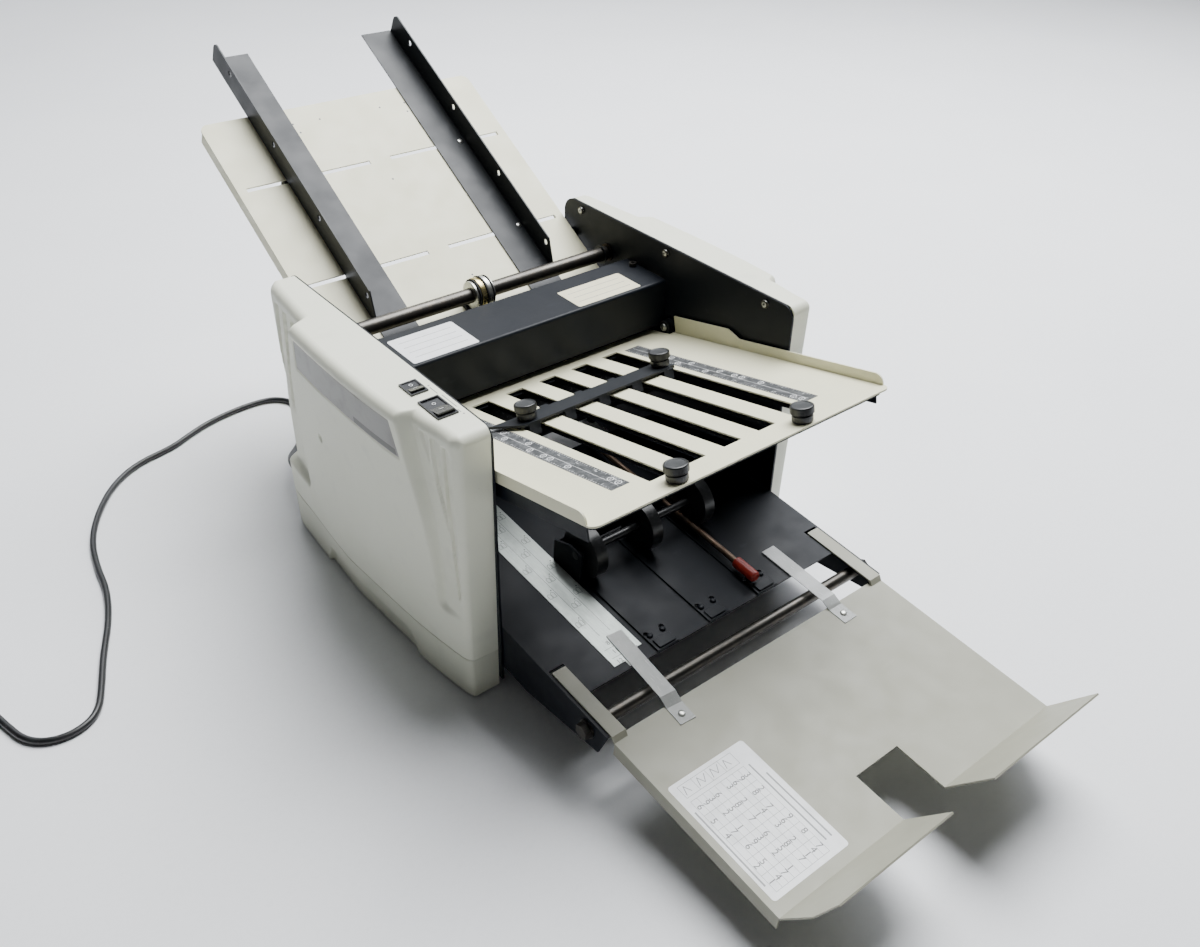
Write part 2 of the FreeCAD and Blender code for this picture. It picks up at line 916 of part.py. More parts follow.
def gear_shape(phase):
    """A spur gear along X whose first tooth points at the angle given from +Y."""
    teeth = round(size.gear_teeth.value)
    pitch_radius = roller_step.value / 2
    module = 2 * pitch_radius / teeth
    base = pitch_radius * math.cos(math.radians(PRESSURE_ANGLE))
    tip = pitch_radius + ADDENDUM_SHARE * module
    root = pitch_radius - DEDENDUM_SHARE * module
    thick = math.pi / teeth / 2 - size.gear_play.value / pitch_radius / 2
    flank = [base + (tip - base) * share for share in FLANK_STEP_SHARES]
    half_angles = [
        thick + involute_angle(pitch_radius, base) - involute_angle(radius, base) for radius in flank
    ]
    ring = []
    for tooth in range(teeth):
        middle = math.radians(phase) + tooth * 2 * math.pi / teeth
        rising = [(radius, middle - half) for radius, half in zip(flank, half_angles)]
        falling = [(radius, middle + half) for radius, half in zip(flank, half_angles)]
        ring.append((root, rising[0][1]))
        ring.extend(rising)
        ring.extend(reversed(falling))
        ring.append((root, falling[0][1]))
    corners = [
        FreeCAD.Vector(0, radius * math.cos(angle), radius * math.sin(angle)) for radius, angle in ring
    ]
    face = Part.Face(Part.makePolygon(corners + corners[:1]))
    start = FreeCAD.Vector(-gear_outer.value, 0, 0)
    face.translate(start)
    solid = face.extrude(X_AXIS * size.gear_wide.value)
    bore = Part.makeCylinder(size.shaft_radius.value, size.gear_wide.value, start, X_AXIS)
    return solid.cut(bore)


tooth_pitch = FULL_TURN / size.gear_teeth.value
phase = 0.0
for i, (name, spot) in enumerate(zip(ROLLERS, roller_spots)):
    node(feature(gear_shape(phase)), f"gear_{name}", spot=(none, *spot))
    if i < len(roller_turns):
        phase = -2 * roller_turns[i].value - phase + FULL_TURN / 2 + tooth_pitch / 2

# Motor on the left plate, its pulley, and the two belts.


def motor():
    low = -size.inner_half
    start = (low, size.motor_back, motor_up)
    can_start = (low + size.motor_face, size.motor_back, motor_up)
    face_radius = size.motor_radius - size.motor_face
    can = round_bar("x", can_start, size.motor_long, size.motor_radius)
    face = round_bar("x", start, size.motor_face, face_radius)
    bore_radius = size.motor_shaft_radius + size.running_gap
    bore = round_bar("x", start, size.motor_face + size.motor_nose, bore_radius)
    node(cut(join([can, face]), [bore]), "motor")


motor()
motor_pulley = turned_along_x(
    "motor_pulley",
    [
        (-(drive_outer + size.pulley_rim), -drive_outer, size.motor_pulley_radius + size.pulley_rim),
        (-drive_outer, -drive_inner, size.motor_pulley_radius),
        (-drive_inner, -(drive_inner - size.pulley_rim), size.motor_pulley_radius + size.pulley_rim),
        (-(drive_inner - size.pulley_rim), -(size.inner_half - size.motor_nose), size.motor_shaft_radius),
    ],
)
node(motor_pulley, "motor_pulley", spot=(none, size.motor_back, motor_up))


def belt_face(first, second, first_radius, second_radius, start):
    """The outline of a belt round two pulleys, two arcs and two tangents."""
    a = FreeCAD.Vector(start, first[0].value, first[1].value)
    b = FreeCAD.Vector(start, second[0].value, second[1].value)
    line = b - a
    lean = math.acos((first_radius - second_radius) / line.Length)
    heading = math.atan2(line.z, line.y)

    def rim(centre, radius, angle):
        return centre + FreeCAD.Vector(0, math.cos(angle), math.sin(angle)) * radius

    upper, lower = heading + lean, heading - lean
    edges = [
        Part.LineSegment(rim(a, first_radius, upper), rim(b, second_radius, upper)),
        Part.Arc(
            rim(b, second_radius, upper),
            rim(b, second_radius, heading),
            rim(b, second_radius, lower),
        ),
        Part.LineSegment(rim(b, second_radius, lower), rim(a, first_radius, lower)),
        Part.Arc(
            rim(a, first_radius, lower),
            rim(a, first_radius, heading + math.pi),
            rim(a, first_radius, upper),
        ),
    ]
    return Part.Face(Part.Wire([edge.toShape() for edge in edges]))


def belt(first, second, radii, start):
    """A flat belt, a little clear of its pulleys and their rims."""
    gap = size.touch_gap.value
    inner = [radius.value + gap for radius in radii]
    outer = [radius + size.belt_wall.value for radius in inner]
    loop = belt_face(first, second, *outer, start + gap)
    loop = loop.cut(belt_face(first, second, *inner, start + gap))
    return loop.extrude(X_AXIS * (size.belt_wide.value - 2 * gap))


drive_radii = (size.motor_pulley_radius, size.drive_pulley_radius)
feed_radii = (size.feed_pulley_radius, size.feed_pulley_radius)
drive_belt = belt(motor_spot, roller_spots[1], drive_radii, -drive_outer.value)
feed_belt = belt(roller_spots[0], feed_spot, feed_radii, belt_inner.value)
node(feature(Part.makeCompound([drive_belt, feed_belt])), "belts")

# Bars between the plates: two low ones, one under each end of the feed table,
# two under the second fold table and a square one under the roller cover.

hood_inner = hood_top - size.sheet


def tie_bars():
    inner = size.inner_half
    radius = size.bar_radius
    under_feed = -(size.sheet + radius)
    under_second = -(size.fold_gap / 2 + size.sheet + size.slide_gap + radius)
    spots = [
        (-size.front_bar_y, size.low_bar_z),
        (size.back_bar_y, size.low_bar_z),
        feed_place.spot(-size.pad_bar_down, under_feed),
        feed_place.spot(size.table_bar_up, under_feed),
        second_place.spot(size.second_bar_first, under_second),
        second_place.spot(size.second_bar_last, under_second),
    ]
    bars = [round_bar("x", (-inner, back, up), inner * 2, radius) for back, up in spots]
    half = size.bar_side / 2
    low = (-inner, size.hood_screw_y - half, hood_inner - size.bar_side)
    high = (inner, size.hood_screw_y + half, hood_inner)
    square = block(low, high)
    drills = []
    for sign in SIDES.values():
        start = (sign * (hood_half - size.hood_screw_in), size.hood_screw_y, hood_inner - size.screw_long)
        drills.append(round_bar("z", start, size.screw_long, size.screw_shank))
    node(group(bars + [cut(square, drills)]), "tie_bars")


tie_bars()


def feed_table():
    body = new_body("feed_table")
    half, top = feed_half, size.feed_rise
    outline = [
        (-half, -size.feed_tail),
        (half, -size.feed_tail),
        (half, top, size.feed_round),
        (-half, top, size.feed_round),
    ]
    slots = []
    half_slot = size.slot_wide / 2
    for middle in (size.upper_slot, size.lower_slot):
        for low, high in ((-slot_outer, -size.slot_inner), (size.slot_inner, slot_outer)):
            slots.append(rectangle(low, high, middle - half_slot, middle + half_slot))
    pad(body, "XY_Plane", -size.sheet, none, [outline] + slots)
    top_round = top - size.feed_round
    for low in (-half, half - size.sheet):
        lip = rectangle(low, low + size.sheet, size.feed_flange_start, top_round)
        pad(body, "XY_Plane", -size.feed_flange, -size.sheet, [lip])
    front_lip = rectangle(size.feed_round - half, half - size.feed_round, top - size.sheet, top)
    pad(body, "XY_Plane", -size.feed_flange, -size.sheet, [front_lip])
    node(body, "feed_table", feed_place)


feed_table()

# Paper guides: angle strips with weld studs that run in the table's slots.

guide_end = size.feed_rise + size.guide_over
stud_outer_x = size.guide_outer - size.stud_outer
stud_inner_x = size.guide_outer - size.stud_inner


def stud(x, along, long):
    """A weld stud hanging from the leg, with a dome on top of the leg."""
    low = size.slide_gap - long
    return round_bar("z", (x, along, low), long + size.sheet, size.stud_radius)


def captive_stud(x, along):
    """A short stud with a collar that keeps the guide on the table."""
    collar_top = -size.sheet - size.touch_gap
    collar = round_bar("z", (x, along, collar_top - size.sheet), size.sheet, size.stud_collar)
    return [stud(x, along, size.slide_gap + size.sheet * 2 + size.touch_gap), collar]


def paper_guide(side):
    sign = SIDES[side]
    low = size.slide_gap
    outer, inner = sign * size.guide_outer, sign * (size.guide_outer - size.guide_leg)
    first, last = (outer, inner) if sign < 0 else (inner, outer)
    leg = block((first, -size.guide_tail, low), (last, guide_end, low + size.sheet))
    wall = outer if sign < 0 else outer - size.sheet
    high = size.guide_high + low
    taper_start = size.guide_taper_end + size.guide_taper
    profile = [
        (size.guide_taper_end, low),
        (guide_end, low),
        (guide_end, high, size.feed_round),
        (taper_start, high),
    ]
    holes = []
    for step in range(4):
        middle = guide_end - size.guide_hole_end - step * size.guide_hole_pitch
        holes.append(((middle, size.guide_hole_up), size.guide_hole))
    upright = slab("YZ_Plane", wall, wall + size.sheet, [profile], holes)
    studs = [stud(sign * stud_outer_x, size.upper_slot, size.stud_long)]
    studs += captive_stud(sign * stud_inner_x, size.upper_slot)
    studs += captive_stud(sign * stud_outer_x, size.lower_slot)
    node(join([leg, upright] + studs), f"{side}_paper_guide", feed_place)


for side in SIDES:
    paper_guide(side)


def guide_knob(side):
    """The clamp knob on the long stud, under the table."""
    top = -size.sheet - size.touch_gap
    bore = size.stud_radius + size.running_gap
    points = [
        (none, top - size.knob_high),
        (size.knob_ring, top - size.knob_high),
        (size.knob_radius, top - size.knob_disc),
        (size.knob_radius, top - size.knob_groove),
        (size.knob_neck, top),
        (bore, top),
        (bore, top - size.stud_long),
        (none, top - size.stud_long),
    ]
    label = f"{side}_guide_knob"
    spot = (SIDES[side] * stud_outer_x, size.upper_slot, none)
    node(turned(label, "XZ_Plane", "V_Axis", points), label, feed_place, spot)


for side in SIDES:
    guide_knob(side)


def roller_cover():
    top, front, back = hood_top, size.hood_front, size.hood_back
    wall, bend = size.sheet, size.hood_round
    inner_bend = bend - wall
    back_foot = top - size.hood_back_drop
    profile = [
        (front, hood_front_foot),
        (front + wall, hood_front_foot),
        (front + wall, top - wall, inner_bend),
        (back - wall, top - wall, inner_bend),
        (back - wall, back_foot),
        (back, back_foot),
        (back, top, bend),
        (front, top, bend),
    ]
    body = new_body("roller_cover")
    pad(body, "YZ_Plane", -hood_half, hood_half, [profile])
    screw_x = hood_half - size.hood_screw_in
    hole = size.screw_shank + size.seat_gap
    drills = [((sign * screw_x, size.hood_screw_y), hole) for sign in SIDES.values()]
    pocket(body, "XY_Plane", top, top - wall, [], drills)
    node(body, "roller_cover")


roller_cover()


def cover_screws():
    """Cross-head screws through the plates, and hexagon socket screws in the roller cover."""
    screws = []
    half_slot = size.screw_slot / 2
    arm = size.screw_radius - size.screw_slot
    for y in (-size.plate_screw_front, size.plate_screw_middle, size.plate_screw_back):
        for sign in SIDES.values():
            z = size.plate_screw_z
            face = sign * size.inner_half
            low = face - size.screw_head if sign > 0 else face
            head = round_bar("x", (low, y, z), size.screw_head, size.screw_radius)
            outside = face - size.screw_head if sign > 0 else face + size.screw_head - size.screw_dip
            flat = block(
                (outside, y - arm, z - half_slot), (outside + size.screw_dip, y + arm, z + half_slot)
            )
            upright = block(
                (outside, y - half_slot, z - arm), (outside + size.screw_dip, y + half_slot, z + arm)
            )
            screws.append(cut(head, [flat, upright]))
    screw_x = hood_half - size.hood_screw_in
    for sign in SIDES.values():
        x, y, top = sign * screw_x, size.hood_screw_y, hood_top
        head = round_bar("z", (x, y, top), size.screw_radius, size.screw_radius)
        shank_start = top - size.sheet - size.screw_long
        shank = round_bar("z", (x, y, shank_start), size.screw_long + size.sheet, size.screw_shank)
        socket = hexagon("z", (x, y, top + size.screw_radius - size.screw_dip), size.screw_dip, size.screw_radius)
        screws.append(cut(join([head, shank]), [socket]))
    node(group(screws), "cover_screws")


cover_screws()

# Upper fold table and the black plate under it; sheets slide between the two.

SLOT_STEPS = (-2, -1, 0, 1, 2)
slot_middles = [size.fold_slot_pitch * step for step in SLOT_STEPS]
half_fold_slot = size.fold_slot_wide / 2
under_top = -(size.sheet + size.fold_gap)
under_low = under_top - size.sheet
front_knob_spots = {"left": -size.front_knob_left, "right": size.front_knob_right}
front_knob_at = -(size.fold_front - size.front_knob_in)
knob_hole = size.knob_stud + size.touch_gap


def fold_slots():
    return [
        rectangle(middle - half_fold_slot, middle + half_fold_slot, -size.fold_slot_end, -size.fold_slot_start)
        for middle in slot_middles
    ]


def front_knob_holes():
    return [((x, front_knob_at), knob_hole) for x in front_knob_spots.values()]


def fold_table_top():
    half, front = fold_half, size.fold_front
    waist = half - size.fold_waist
    outline = [
        (-half, -front, size.fold_round),
        (half, -front, size.fold_round),
        (half, -size.fold_waist_start),
        (waist, -size.fold_waist_start),
        (waist, size.fold_tail),
        (-waist, size.fold_tail),
        (-waist, -size.fold_waist_start),
        (-half, -size.fold_waist_start),
    ]
    body = new_body("fold_table_top")
    pad(body, "XY_Plane", -size.sheet, none, [outline] + fold_slots(), front_knob_holes())
    flange = [
        (size.fold_round - front, 0),
        (-size.fold_flange_back, 0),
        (-size.fold_flange_back, size.fold_flange_high),
        (-size.fold_step_back, size.fold_flange_high),
        (-size.fold_step_front, size.fold_flange),
        (size.fold_round - front, size.fold_flange, size.fold_round),
    ]
    for low in (-half, half - size.sheet):
        pad(body, "YZ_Plane", low, low + size.sheet, [flange])
    node(body, "fold_table_top", fold_place)


fold_table_top()


def fold_table_bottom():
    half, front = under_half, size.under_front
    body = new_body("fold_table_bottom")
    plate = [
        (-half, -front, size.fold_round),
        (half, -front, size.fold_round),
        (half, size.fold_tail),
        (-half, size.fold_tail),
    ]
    pad(body, "XY_Plane", under_low, under_top, [plate] + fold_slots(), front_knob_holes())
    rail_low = half - size.rail_in - size.rail_wide
    for low in (-rail_low - size.rail_wide, rail_low):
        rail = rectangle(low, low + size.rail_wide, size.fold_round - front, -size.fold_waist_start)
        pad(body, "XY_Plane", under_top, -size.sheet, [rail])
    for low in (-half, half - size.sheet):
        lip = rectangle(low, low + size.sheet, size.fold_round - front, size.fold_tail)
        pad(body, "XY_Plane", under_low - size.under_flange + size.sheet, under_low, [lip])
    ear = [
        (-size.pivot_forward - size.ear_radius, under_top),
        (-size.pivot_forward + size.ear_radius, under_top),
        (-size.pivot_forward + size.ear_radius, size.pivot_up + size.ear_radius, size.ear_radius / 2),
        (-size.pivot_forward - size.ear_radius, size.pivot_up + size.ear_radius, size.ear_radius / 2),
    ]
    hole = ((-size.pivot_forward, size.pivot_up), size.boss_pin + size.running_gap * 2)
    for low in (-half, half - size.sheet):
        pad(body, "YZ_Plane", low, low + size.sheet, [ear], [hole])
    node(body, "fold_table_bottom", fold_place)


fold_table_bottom()


def table_bosses():
    """A black collar on each plate with a shouldered pin through the table's ear."""
    back, up = pivot_spot
    ear_outer = under_half + size.touch_gap
    ear_inner = under_half - size.sheet - size.touch_gap
    bosses = []
    for sign in SIDES.values():
        collar_long = size.inner_half - ear_outer
        collar_start = ear_outer if sign > 0 else -size.inner_half
        pin_long = ear_outer - ear_inner
        pin_start = ear_inner if sign > 0 else -ear_outer
        head_start = ear_inner - size.boss_head if sign > 0 else -ear_inner
        bosses.append(
            join(
                [
                    round_bar("x", (collar_start, back, up), collar_long, size.boss_radius),
                    round_bar("x", (pin_start, back, up), pin_long, size.boss_pin),
                    round_bar("x", (head_start, back, up), size.boss_head, size.boss_radius),
                ]
            )
        )
    node(group(bosses), "table_bosses")


table_bosses()

# Stop bar across the fold table, with a finger in each slot and two clamp knobs.

stop_low = size.stop_raise
stop_high = size.stop_raise + size.stop_wall
stop_back = size.stop_deep - size.stop_front
stop_knob_at = size.stop_knob_back - size.stop_front


def stop_bar():
    low_x, high_x = -size.stop_half - size.stop_side, size.stop_half - size.stop_side
    front, tip_at = -size.stop_front, size.stop_tip_deep - size.stop_front
    nub_top = stop_back + size.stop_nub
    half_nub = size.stop_nub_wide / 2
    outline = [
        (low_x, front),
        (high_x, front),
        (high_x + size.stop_tip, tip_at),
        (high_x, stop_back),
    ]
    for step in (1, 0, -1):
        middle = size.fold_slot_pitch * step - size.stop_side * 2
        outline += [
            (middle + half_nub, stop_back),
            (middle + half_nub, nub_top),
            (middle - half_nub, nub_top),
            (middle - half_nub, stop_back),
        ]
    outline += [(low_x, stop_back), (low_x - size.stop_tip, tip_at)]
    holes = [((sign * size.stop_knob_x, stop_knob_at), knob_hole) for sign in SIDES.values()]
    body = new_body("stop_bar")
    pad(body, "XY_Plane", stop_low, stop_high, [outline], holes)
    half_runner = half_fold_slot + size.runner_lap
    low_y = front + size.finger_tab + size.touch_gap
    runners = [
        rectangle(x - half_runner, x + half_runner, low_y, stop_back - size.runner_lap)
        for (x, _), _ in holes
    ]
    pad(body, "XY_Plane", size.slide_gap / 2, stop_low, runners, holes)
    node(body, "stop_bar", fold_place)


stop_bar()


def stop_fingers():
    """Bent plates that hang from the bar and reach through the slots."""
    front = -size.stop_front
    foot = -size.finger_drop
    fingers = []
    for middle in slot_middles:
        low_x, high_x = middle - size.finger_wide / 2, middle + size.finger_wide / 2
        profile = [
            (front, foot),
            (front + size.sheet, foot),
            (front + size.sheet, stop_low - size.sheet),
            (front + size.finger_tab, stop_low - size.sheet),
            (front + size.finger_tab, stop_low),
            (front, stop_low),
        ]
        fingers.append(slab("YZ_Plane", low_x, high_x, [profile]))
    node(group(fingers), "stop_fingers", fold_place)


stop_fingers()


def clamp_knob(label, x, along, seat):
    """A knob with a dished disc, a groove and a lower ring, on its own screw."""
    top = seat + size.knob_high
    disc = top - size.knob_disc
    groove = disc - size.knob_groove
    points = [
        (none, under_low - size.stop_wall),
        (size.knob_stud, under_low - size.stop_wall),
        (size.knob_stud, seat),
        (size.knob_ring, seat),
        (size.knob_ring, groove),
        (size.knob_neck, groove),
        (size.knob_neck, disc),
        (size.knob_radius, disc),
        (size.knob_radius, top),
        (size.knob_dish_radius, top),
        (size.knob_dish_radius, top - size.knob_dish),
        (none, top - size.knob_dish),
    ]
    node(turned(label, "XZ_Plane", "V_Axis", points), label, fold_place, (x, along, none))


for side, sign in SIDES.items():
    clamp_knob(f"{side}_stop_knob", sign * size.stop_knob_x, stop_knob_at, stop_high + size.slide_gap)
    clamp_knob(f"{side}_front_knob", front_knob_spots[side], front_knob_at, none + size.slide_gap)

# Exit deck: one bent sheet with side flanges, ledges that reach forward and three tracks.

track_middles = [size.track_pitch * step for step in (-1, 0, 1)]
flange_inner = size.inner_half - size.sheet


def exit_deck():
    half, notch = size.inner_half, deck_notch_half
    outline = [
        (-half, -size.ledge_long),
        (-notch, -size.ledge_long),
        (-notch, 0),
        (notch, 0),
        (notch, -size.ledge_long),
        (half, -size.ledge_long),
        (half, size.deck_back),
        (-half, size.deck_back),
    ]
    arm_inner = tray_half - size.tray_arm_wide
    low_x, high_x = arm_inner - size.touch_gap * 3, tray_half + size.touch_gap
    slot_back = size.hook_slot_in + size.hook_slot
    slots = [
        rectangle(low_x, high_x, size.hook_slot_in, slot_back),
        rectangle(-high_x, -low_x, size.hook_slot_in, slot_back),
    ]
    body = new_body("exit_deck")
    pad(body, "XY_Plane", -size.sheet, none, [outline] + slots)
    side = [
        (-size.ledge_long, -size.sheet),
        (size.deck_flange_slant - size.ledge_long, -size.deck_flange_front),
        (size.deck_flange_full, -size.deck_flange),
        (size.deck_back, -size.deck_flange),
        (size.deck_back, -size.sheet),
    ]
    rod_hole = ((-size.rod_forward, -size.rod_down), size.bolt_radius + size.seat_gap)
    for low in (-half, flange_inner):
        pad(body, "YZ_Plane", low, low + size.sheet, [side], [rod_hole])
    for middle in track_middles:
        track = rectangle(middle - size.track_wide / 2, middle + size.track_wide / 2, none, size.track_long)
        pad(body, "XY_Plane", none, size.track_raise, [track])
    holes = []
    for middle in track_middles:
        for step in (-1, 1):
            holes.append(((middle + step * size.track_hole_pitch, size.track_hole_in), size.track_hole))
    pocket(body, "XY_Plane", size.track_raise, -size.sheet, [], holes)
    node(body, "exit_deck", deck_place)


exit_deck()


def front_rod():
    """A round rod between the deck's flanges, tapped at both ends."""
    grip = flange_inner - size.bolt_grip
    points = [
        (-flange_inner, size.bolt_radius),
        (-grip, size.bolt_radius),
        (-grip, none),
        (grip, none),
        (grip, size.bolt_radius),
        (flange_inner, size.bolt_radius),
        (flange_inner, size.rod_radius),
        (-flange_inner, size.rod_radius),
    ]
    spot = (none, -size.rod_forward, -size.rod_down)
    node(turned("front_rod", "XY_Plane", "H_Axis", points), "front_rod", deck_place, spot)


front_rod()


def rod_bolts():
    bolts = []
    for sign in SIDES.values():
        face = sign * size.inner_half
        grip = flange_inner - size.bolt_grip
        spot = (-size.rod_forward, -size.rod_down)
        shank = round_bar("x", (grip if sign > 0 else face, *spot), size.inner_half - grip, size.bolt_radius)
        washer_start = face if sign > 0 else face - size.washer_wall
        washer = round_bar("x", (washer_start, *spot), size.washer_wall, size.washer_radius)
        head_face = size.inner_half + size.washer_wall
        head_start = head_face if sign > 0 else -head_face - size.bolt_head
        head = hexagon("x", (head_start, *spot), size.bolt_head, size.bolt_flats)
        bolts.append(join([shank, washer, head]))
    node(group(bolts), "rod_bolts", deck_place)


rod_bolts()


def scale_strip():
    inner = -size.scale_in
    outer = inner - size.scale_wide
    front, step = size.scale_front, size.scale_step
    third = size.scale_wide / 3
    outline = [
        (outer, front + step),
        (outer + third, front + step),
        (outer + third, front),
        (outer + third * 2, front),
        (outer + third * 2, front + step * 2),
        (inner, front + step * 2),
        (inner, size.scale_back),
        (outer + size.scale_chamfer, size.scale_back),
        (outer, size.scale_back - size.scale_chamfer),
    ]
    body = new_body("scale_strip")
    pad(body, "XY_Plane", none, size.scale_wall, [outline])
    node(body, "scale_strip", deck_place)


scale_strip()

# Stacker: three wheels on one axle, carried by a bracket that slides on the deck.

axle_up = size.track_raise + size.stack_gap + size.stack_radius
half_stack = size.stack_wide / 2
arm_inner = size.stack_pitch + half_stack + size.stack_arm_gap
arm_outer = arm_inner + size.stack_arm


wheel_steps = []
last_end = -arm_outer
for step in (-1, 0, 1):
    middle = size.stack_pitch * step
    wheel_steps.append((last_end, middle - half_stack, size.stack_axle))
    wheel_steps.append((middle - half_stack, middle + half_stack, size.stack_radius))
    last_end = middle + half_stack
wheel_steps.append((last_end, arm_outer, size.stack_axle))
node(
    turned_along_x("stacker_wheels", wheel_steps),
    "stacker_wheels",
    deck_place,
    (none, size.stack_back, axle_up),
)


def stacker_carriage():
    back_low = size.stack_back + size.stack_bar_back
    back_high = back_low + size.stack_arm
    body = new_body("stacker_carriage")
    bar = rectangle(-arm_outer, arm_outer, back_low, back_high)
    pad(body, "XY_Plane", size.stack_bar_low, size.stack_bar_low + size.stack_bar_high, [bar])
    front = size.stack_back - size.stack_hub
    arm = [
        (front, size.touch_gap),
        (back_high, size.touch_gap),
        (back_high, size.stack_bar_low + size.stack_bar_high),
        (size.stack_back + size.stack_hub, size.stack_arm_high),
        (front, size.stack_arm_high),
    ]
    axle_hole = ((size.stack_back, axle_up), size.stack_axle + size.running_gap * 2)
    for low in (-arm_outer, arm_inner):
        pad(body, "YZ_Plane", low, low + size.stack_arm, [arm], [axle_hole])
    doc.recompute()
    hole = body.newObject("PartDesign::Pocket", "rod_hole")
    support = [item for item in body.Origin.OriginFeatures if item.Role == "XZ_Plane"][0]
    sketch = body.newObject("Sketcher::SketchObject", "rod_hole_sketch")
    sketch.AttachmentSupport = [(support, "")]
    sketch.MapMode = "FlatFace"
    bind_base(sketch, "AttachmentOffset.Base", (0, 0, -back_low))
    draw_circle(sketch, (size.pull_x, size.pull_up), size.pull_radius)
    hole.Profile = sketch
    bind(hole, Length=size.stack_arm)
    pockets.append(hole)
    body.Tip = hole
    node(body, "stacker_carriage", deck_place)


stacker_carriage()


def carriage_rod():
    spot = (size.pull_x, size.pull_front, size.pull_up)
    long = size.pull_back - size.pull_front
    rod = round_bar("y", spot, long, size.pull_radius)
    node(group([rod]), "carriage_rod", deck_place)


carriage_rod()


def rod_cap():
    """A soft cap, closed at the front, pushed on the end of the rod."""
    end = size.cap_depth
    points = [
        (none, end - size.cap_long),
        (size.cap_radius, end - size.cap_long, size.cap_round),
        (size.cap_radius, end, size.cap_round / 2),
        (size.pull_radius, end),
        (size.pull_radius, none),
        (none, none),
    ]
    body = turned("rod_cap", "XY_Plane", "V_Axis", points)
    node(body, "rod_cap", deck_place, (size.pull_x, size.pull_front, size.pull_up))


rod_cap()

# Catch tray: a flat sheet with a notch, two turned-up lips and two arms over the ledges.

tray_top = -size.tray_drop
tray_low = tray_top - size.sheet
lip_dy = -(size.lip_long * cos_of(size.lip_rise))
lip_dz = size.lip_long * sin_of(size.lip_rise)
arm_low = size.slide_gap
arm_high = arm_low + size.sheet


def tray_lip(low_x, high_x):
    """A lip turned up along the tray's front fold."""
    foot = -size.tray_fold
    side = [
        (foot, tray_low),
        (foot, tray_top),
        (foot + lip_dy, tray_top + lip_dz),
        (foot + lip_dy - size.sheet * sin_of(size.lip_rise), tray_top + lip_dz - size.sheet * cos_of(size.lip_rise)),
        (foot - size.sheet * sin_of(size.lip_rise), tray_top - size.sheet * cos_of(size.lip_rise)),
    ]
    return slab("YZ_Plane", low_x, high_x, [side])


def left_lip():
    """The left lip has its outer corner cut off."""
    low_x, chamfer = -tray_half, size.lip_chamfer
    tip = lip_dy - size.tray_fold
    start = tip + chamfer * cos_of(size.lip_rise)
    corner = [
        (low_x - chamfer, tip - chamfer),
        (low_x + chamfer, tip - chamfer),
        (low_x + chamfer, tip),
        (low_x, start),
        (low_x - chamfer, start),
    ]
    tool = slab("XY_Plane", tray_low, tray_top + size.lip_long, [corner])
    return cut(tray_lip(low_x, -size.tray_notch_left), [tool])


def catch_tray():
    half, foot = tray_half, -size.tray_fold
    notch_left, notch_right = -size.tray_notch_left, size.tray_notch_right
    panel = [
        (-half, foot),
        (notch_left, foot),
        (notch_left, -size.tray_notch_back),
        (notch_right, -size.tray_notch_back),
        (notch_right, foot),
        (half, foot),
        (half, -size.tray_back - size.tray_step),
        (half - size.tray_arm_wide, -size.tray_back - size.tray_step),
        (half - size.tray_arm_wide, -size.tray_back),
        (size.tray_arm_wide - half, -size.tray_back),
        (size.tray_arm_wide - half, -size.tray_back - size.tray_step),
        (-half, -size.tray_back - size.tray_step),
    ]
    pieces = [slab("XY_Plane", tray_low, tray_top, [panel])]
    step_front, step_back = -size.tray_back - size.tray_step, -size.tray_back
    arm_end = size.tray_arm_back
    arm = [
        (step_front, tray_low),
        (step_front + size.sheet, tray_low),
        (step_back, arm_low),
        (arm_end - size.sheet, arm_low),
        (arm_end - size.sheet, -size.tray_hook),
        (arm_end, -size.tray_hook),
        (arm_end, arm_high),
        (step_back - size.sheet, arm_high),
        (step_front, tray_top),
    ]
    for low in (-half, half - size.tray_arm_wide):
        pieces.append(slab("YZ_Plane", low, low + size.tray_arm_wide, [arm]))
    for low in (-half, half - size.sheet):
        lip = (low, foot, tray_top - size.tray_flange)
        pieces.append(block(lip, (low + size.sheet, -size.tray_back - size.tray_step, tray_low)))
    pieces.append(left_lip())
    pieces.append(tray_lip(notch_right, half))
    node(join(pieces), "catch_tray", deck_place)


catch_tray()


def clear_strips():
    """Springy clear strips riveted to the tray that reach back over the deck."""
    flat_end = size.strip_flat - size.strip_front
    ramp_end = flat_end + size.strip_ramp
    high = size.strip_float
    wall = size.strip_wall
    profile = [
        (-size.strip_front, tray_top),
        (flat_end, tray_top),
        (ramp_end, high),
        (size.strip_back, high),
        (size.strip_back, high + wall),
        (ramp_end - wall, high + wall),
        (flat_end - wall, tray_top + wall),
        (-size.strip_front, tray_top + wall),
    ]
    strips = []
    for spot, turn in ((size.strip_shift - size.strip_x, size.strip_skew), (size.strip_x, none)):
        strip = slab("YZ_Plane", -size.strip_half, size.strip_half, [profile])
        holder = group([strip])
        holder.Placement = FreeCAD.Placement(ORIGIN, FreeCAD.Rotation(-Z_AXIS, turn.value))
        bind_base(holder, "Placement.Base", (spot, 0, 0))
        if turn is not none:
            holder.setExpression("Placement.Rotation.Angle", turn.text)
        strips.append(holder)
    node(group(strips), "clear_strips", deck_place)


clear_strips()

# Second fold table: a flat slotted pocket that pulls out at the back, with its own stop.

second_slots = [size.second_slot_pitch * step for step in (-1, 0, 1)]
half_second_slot = size.second_slot_wide / 2
second_high = size.fold_gap / 2 + size.sheet


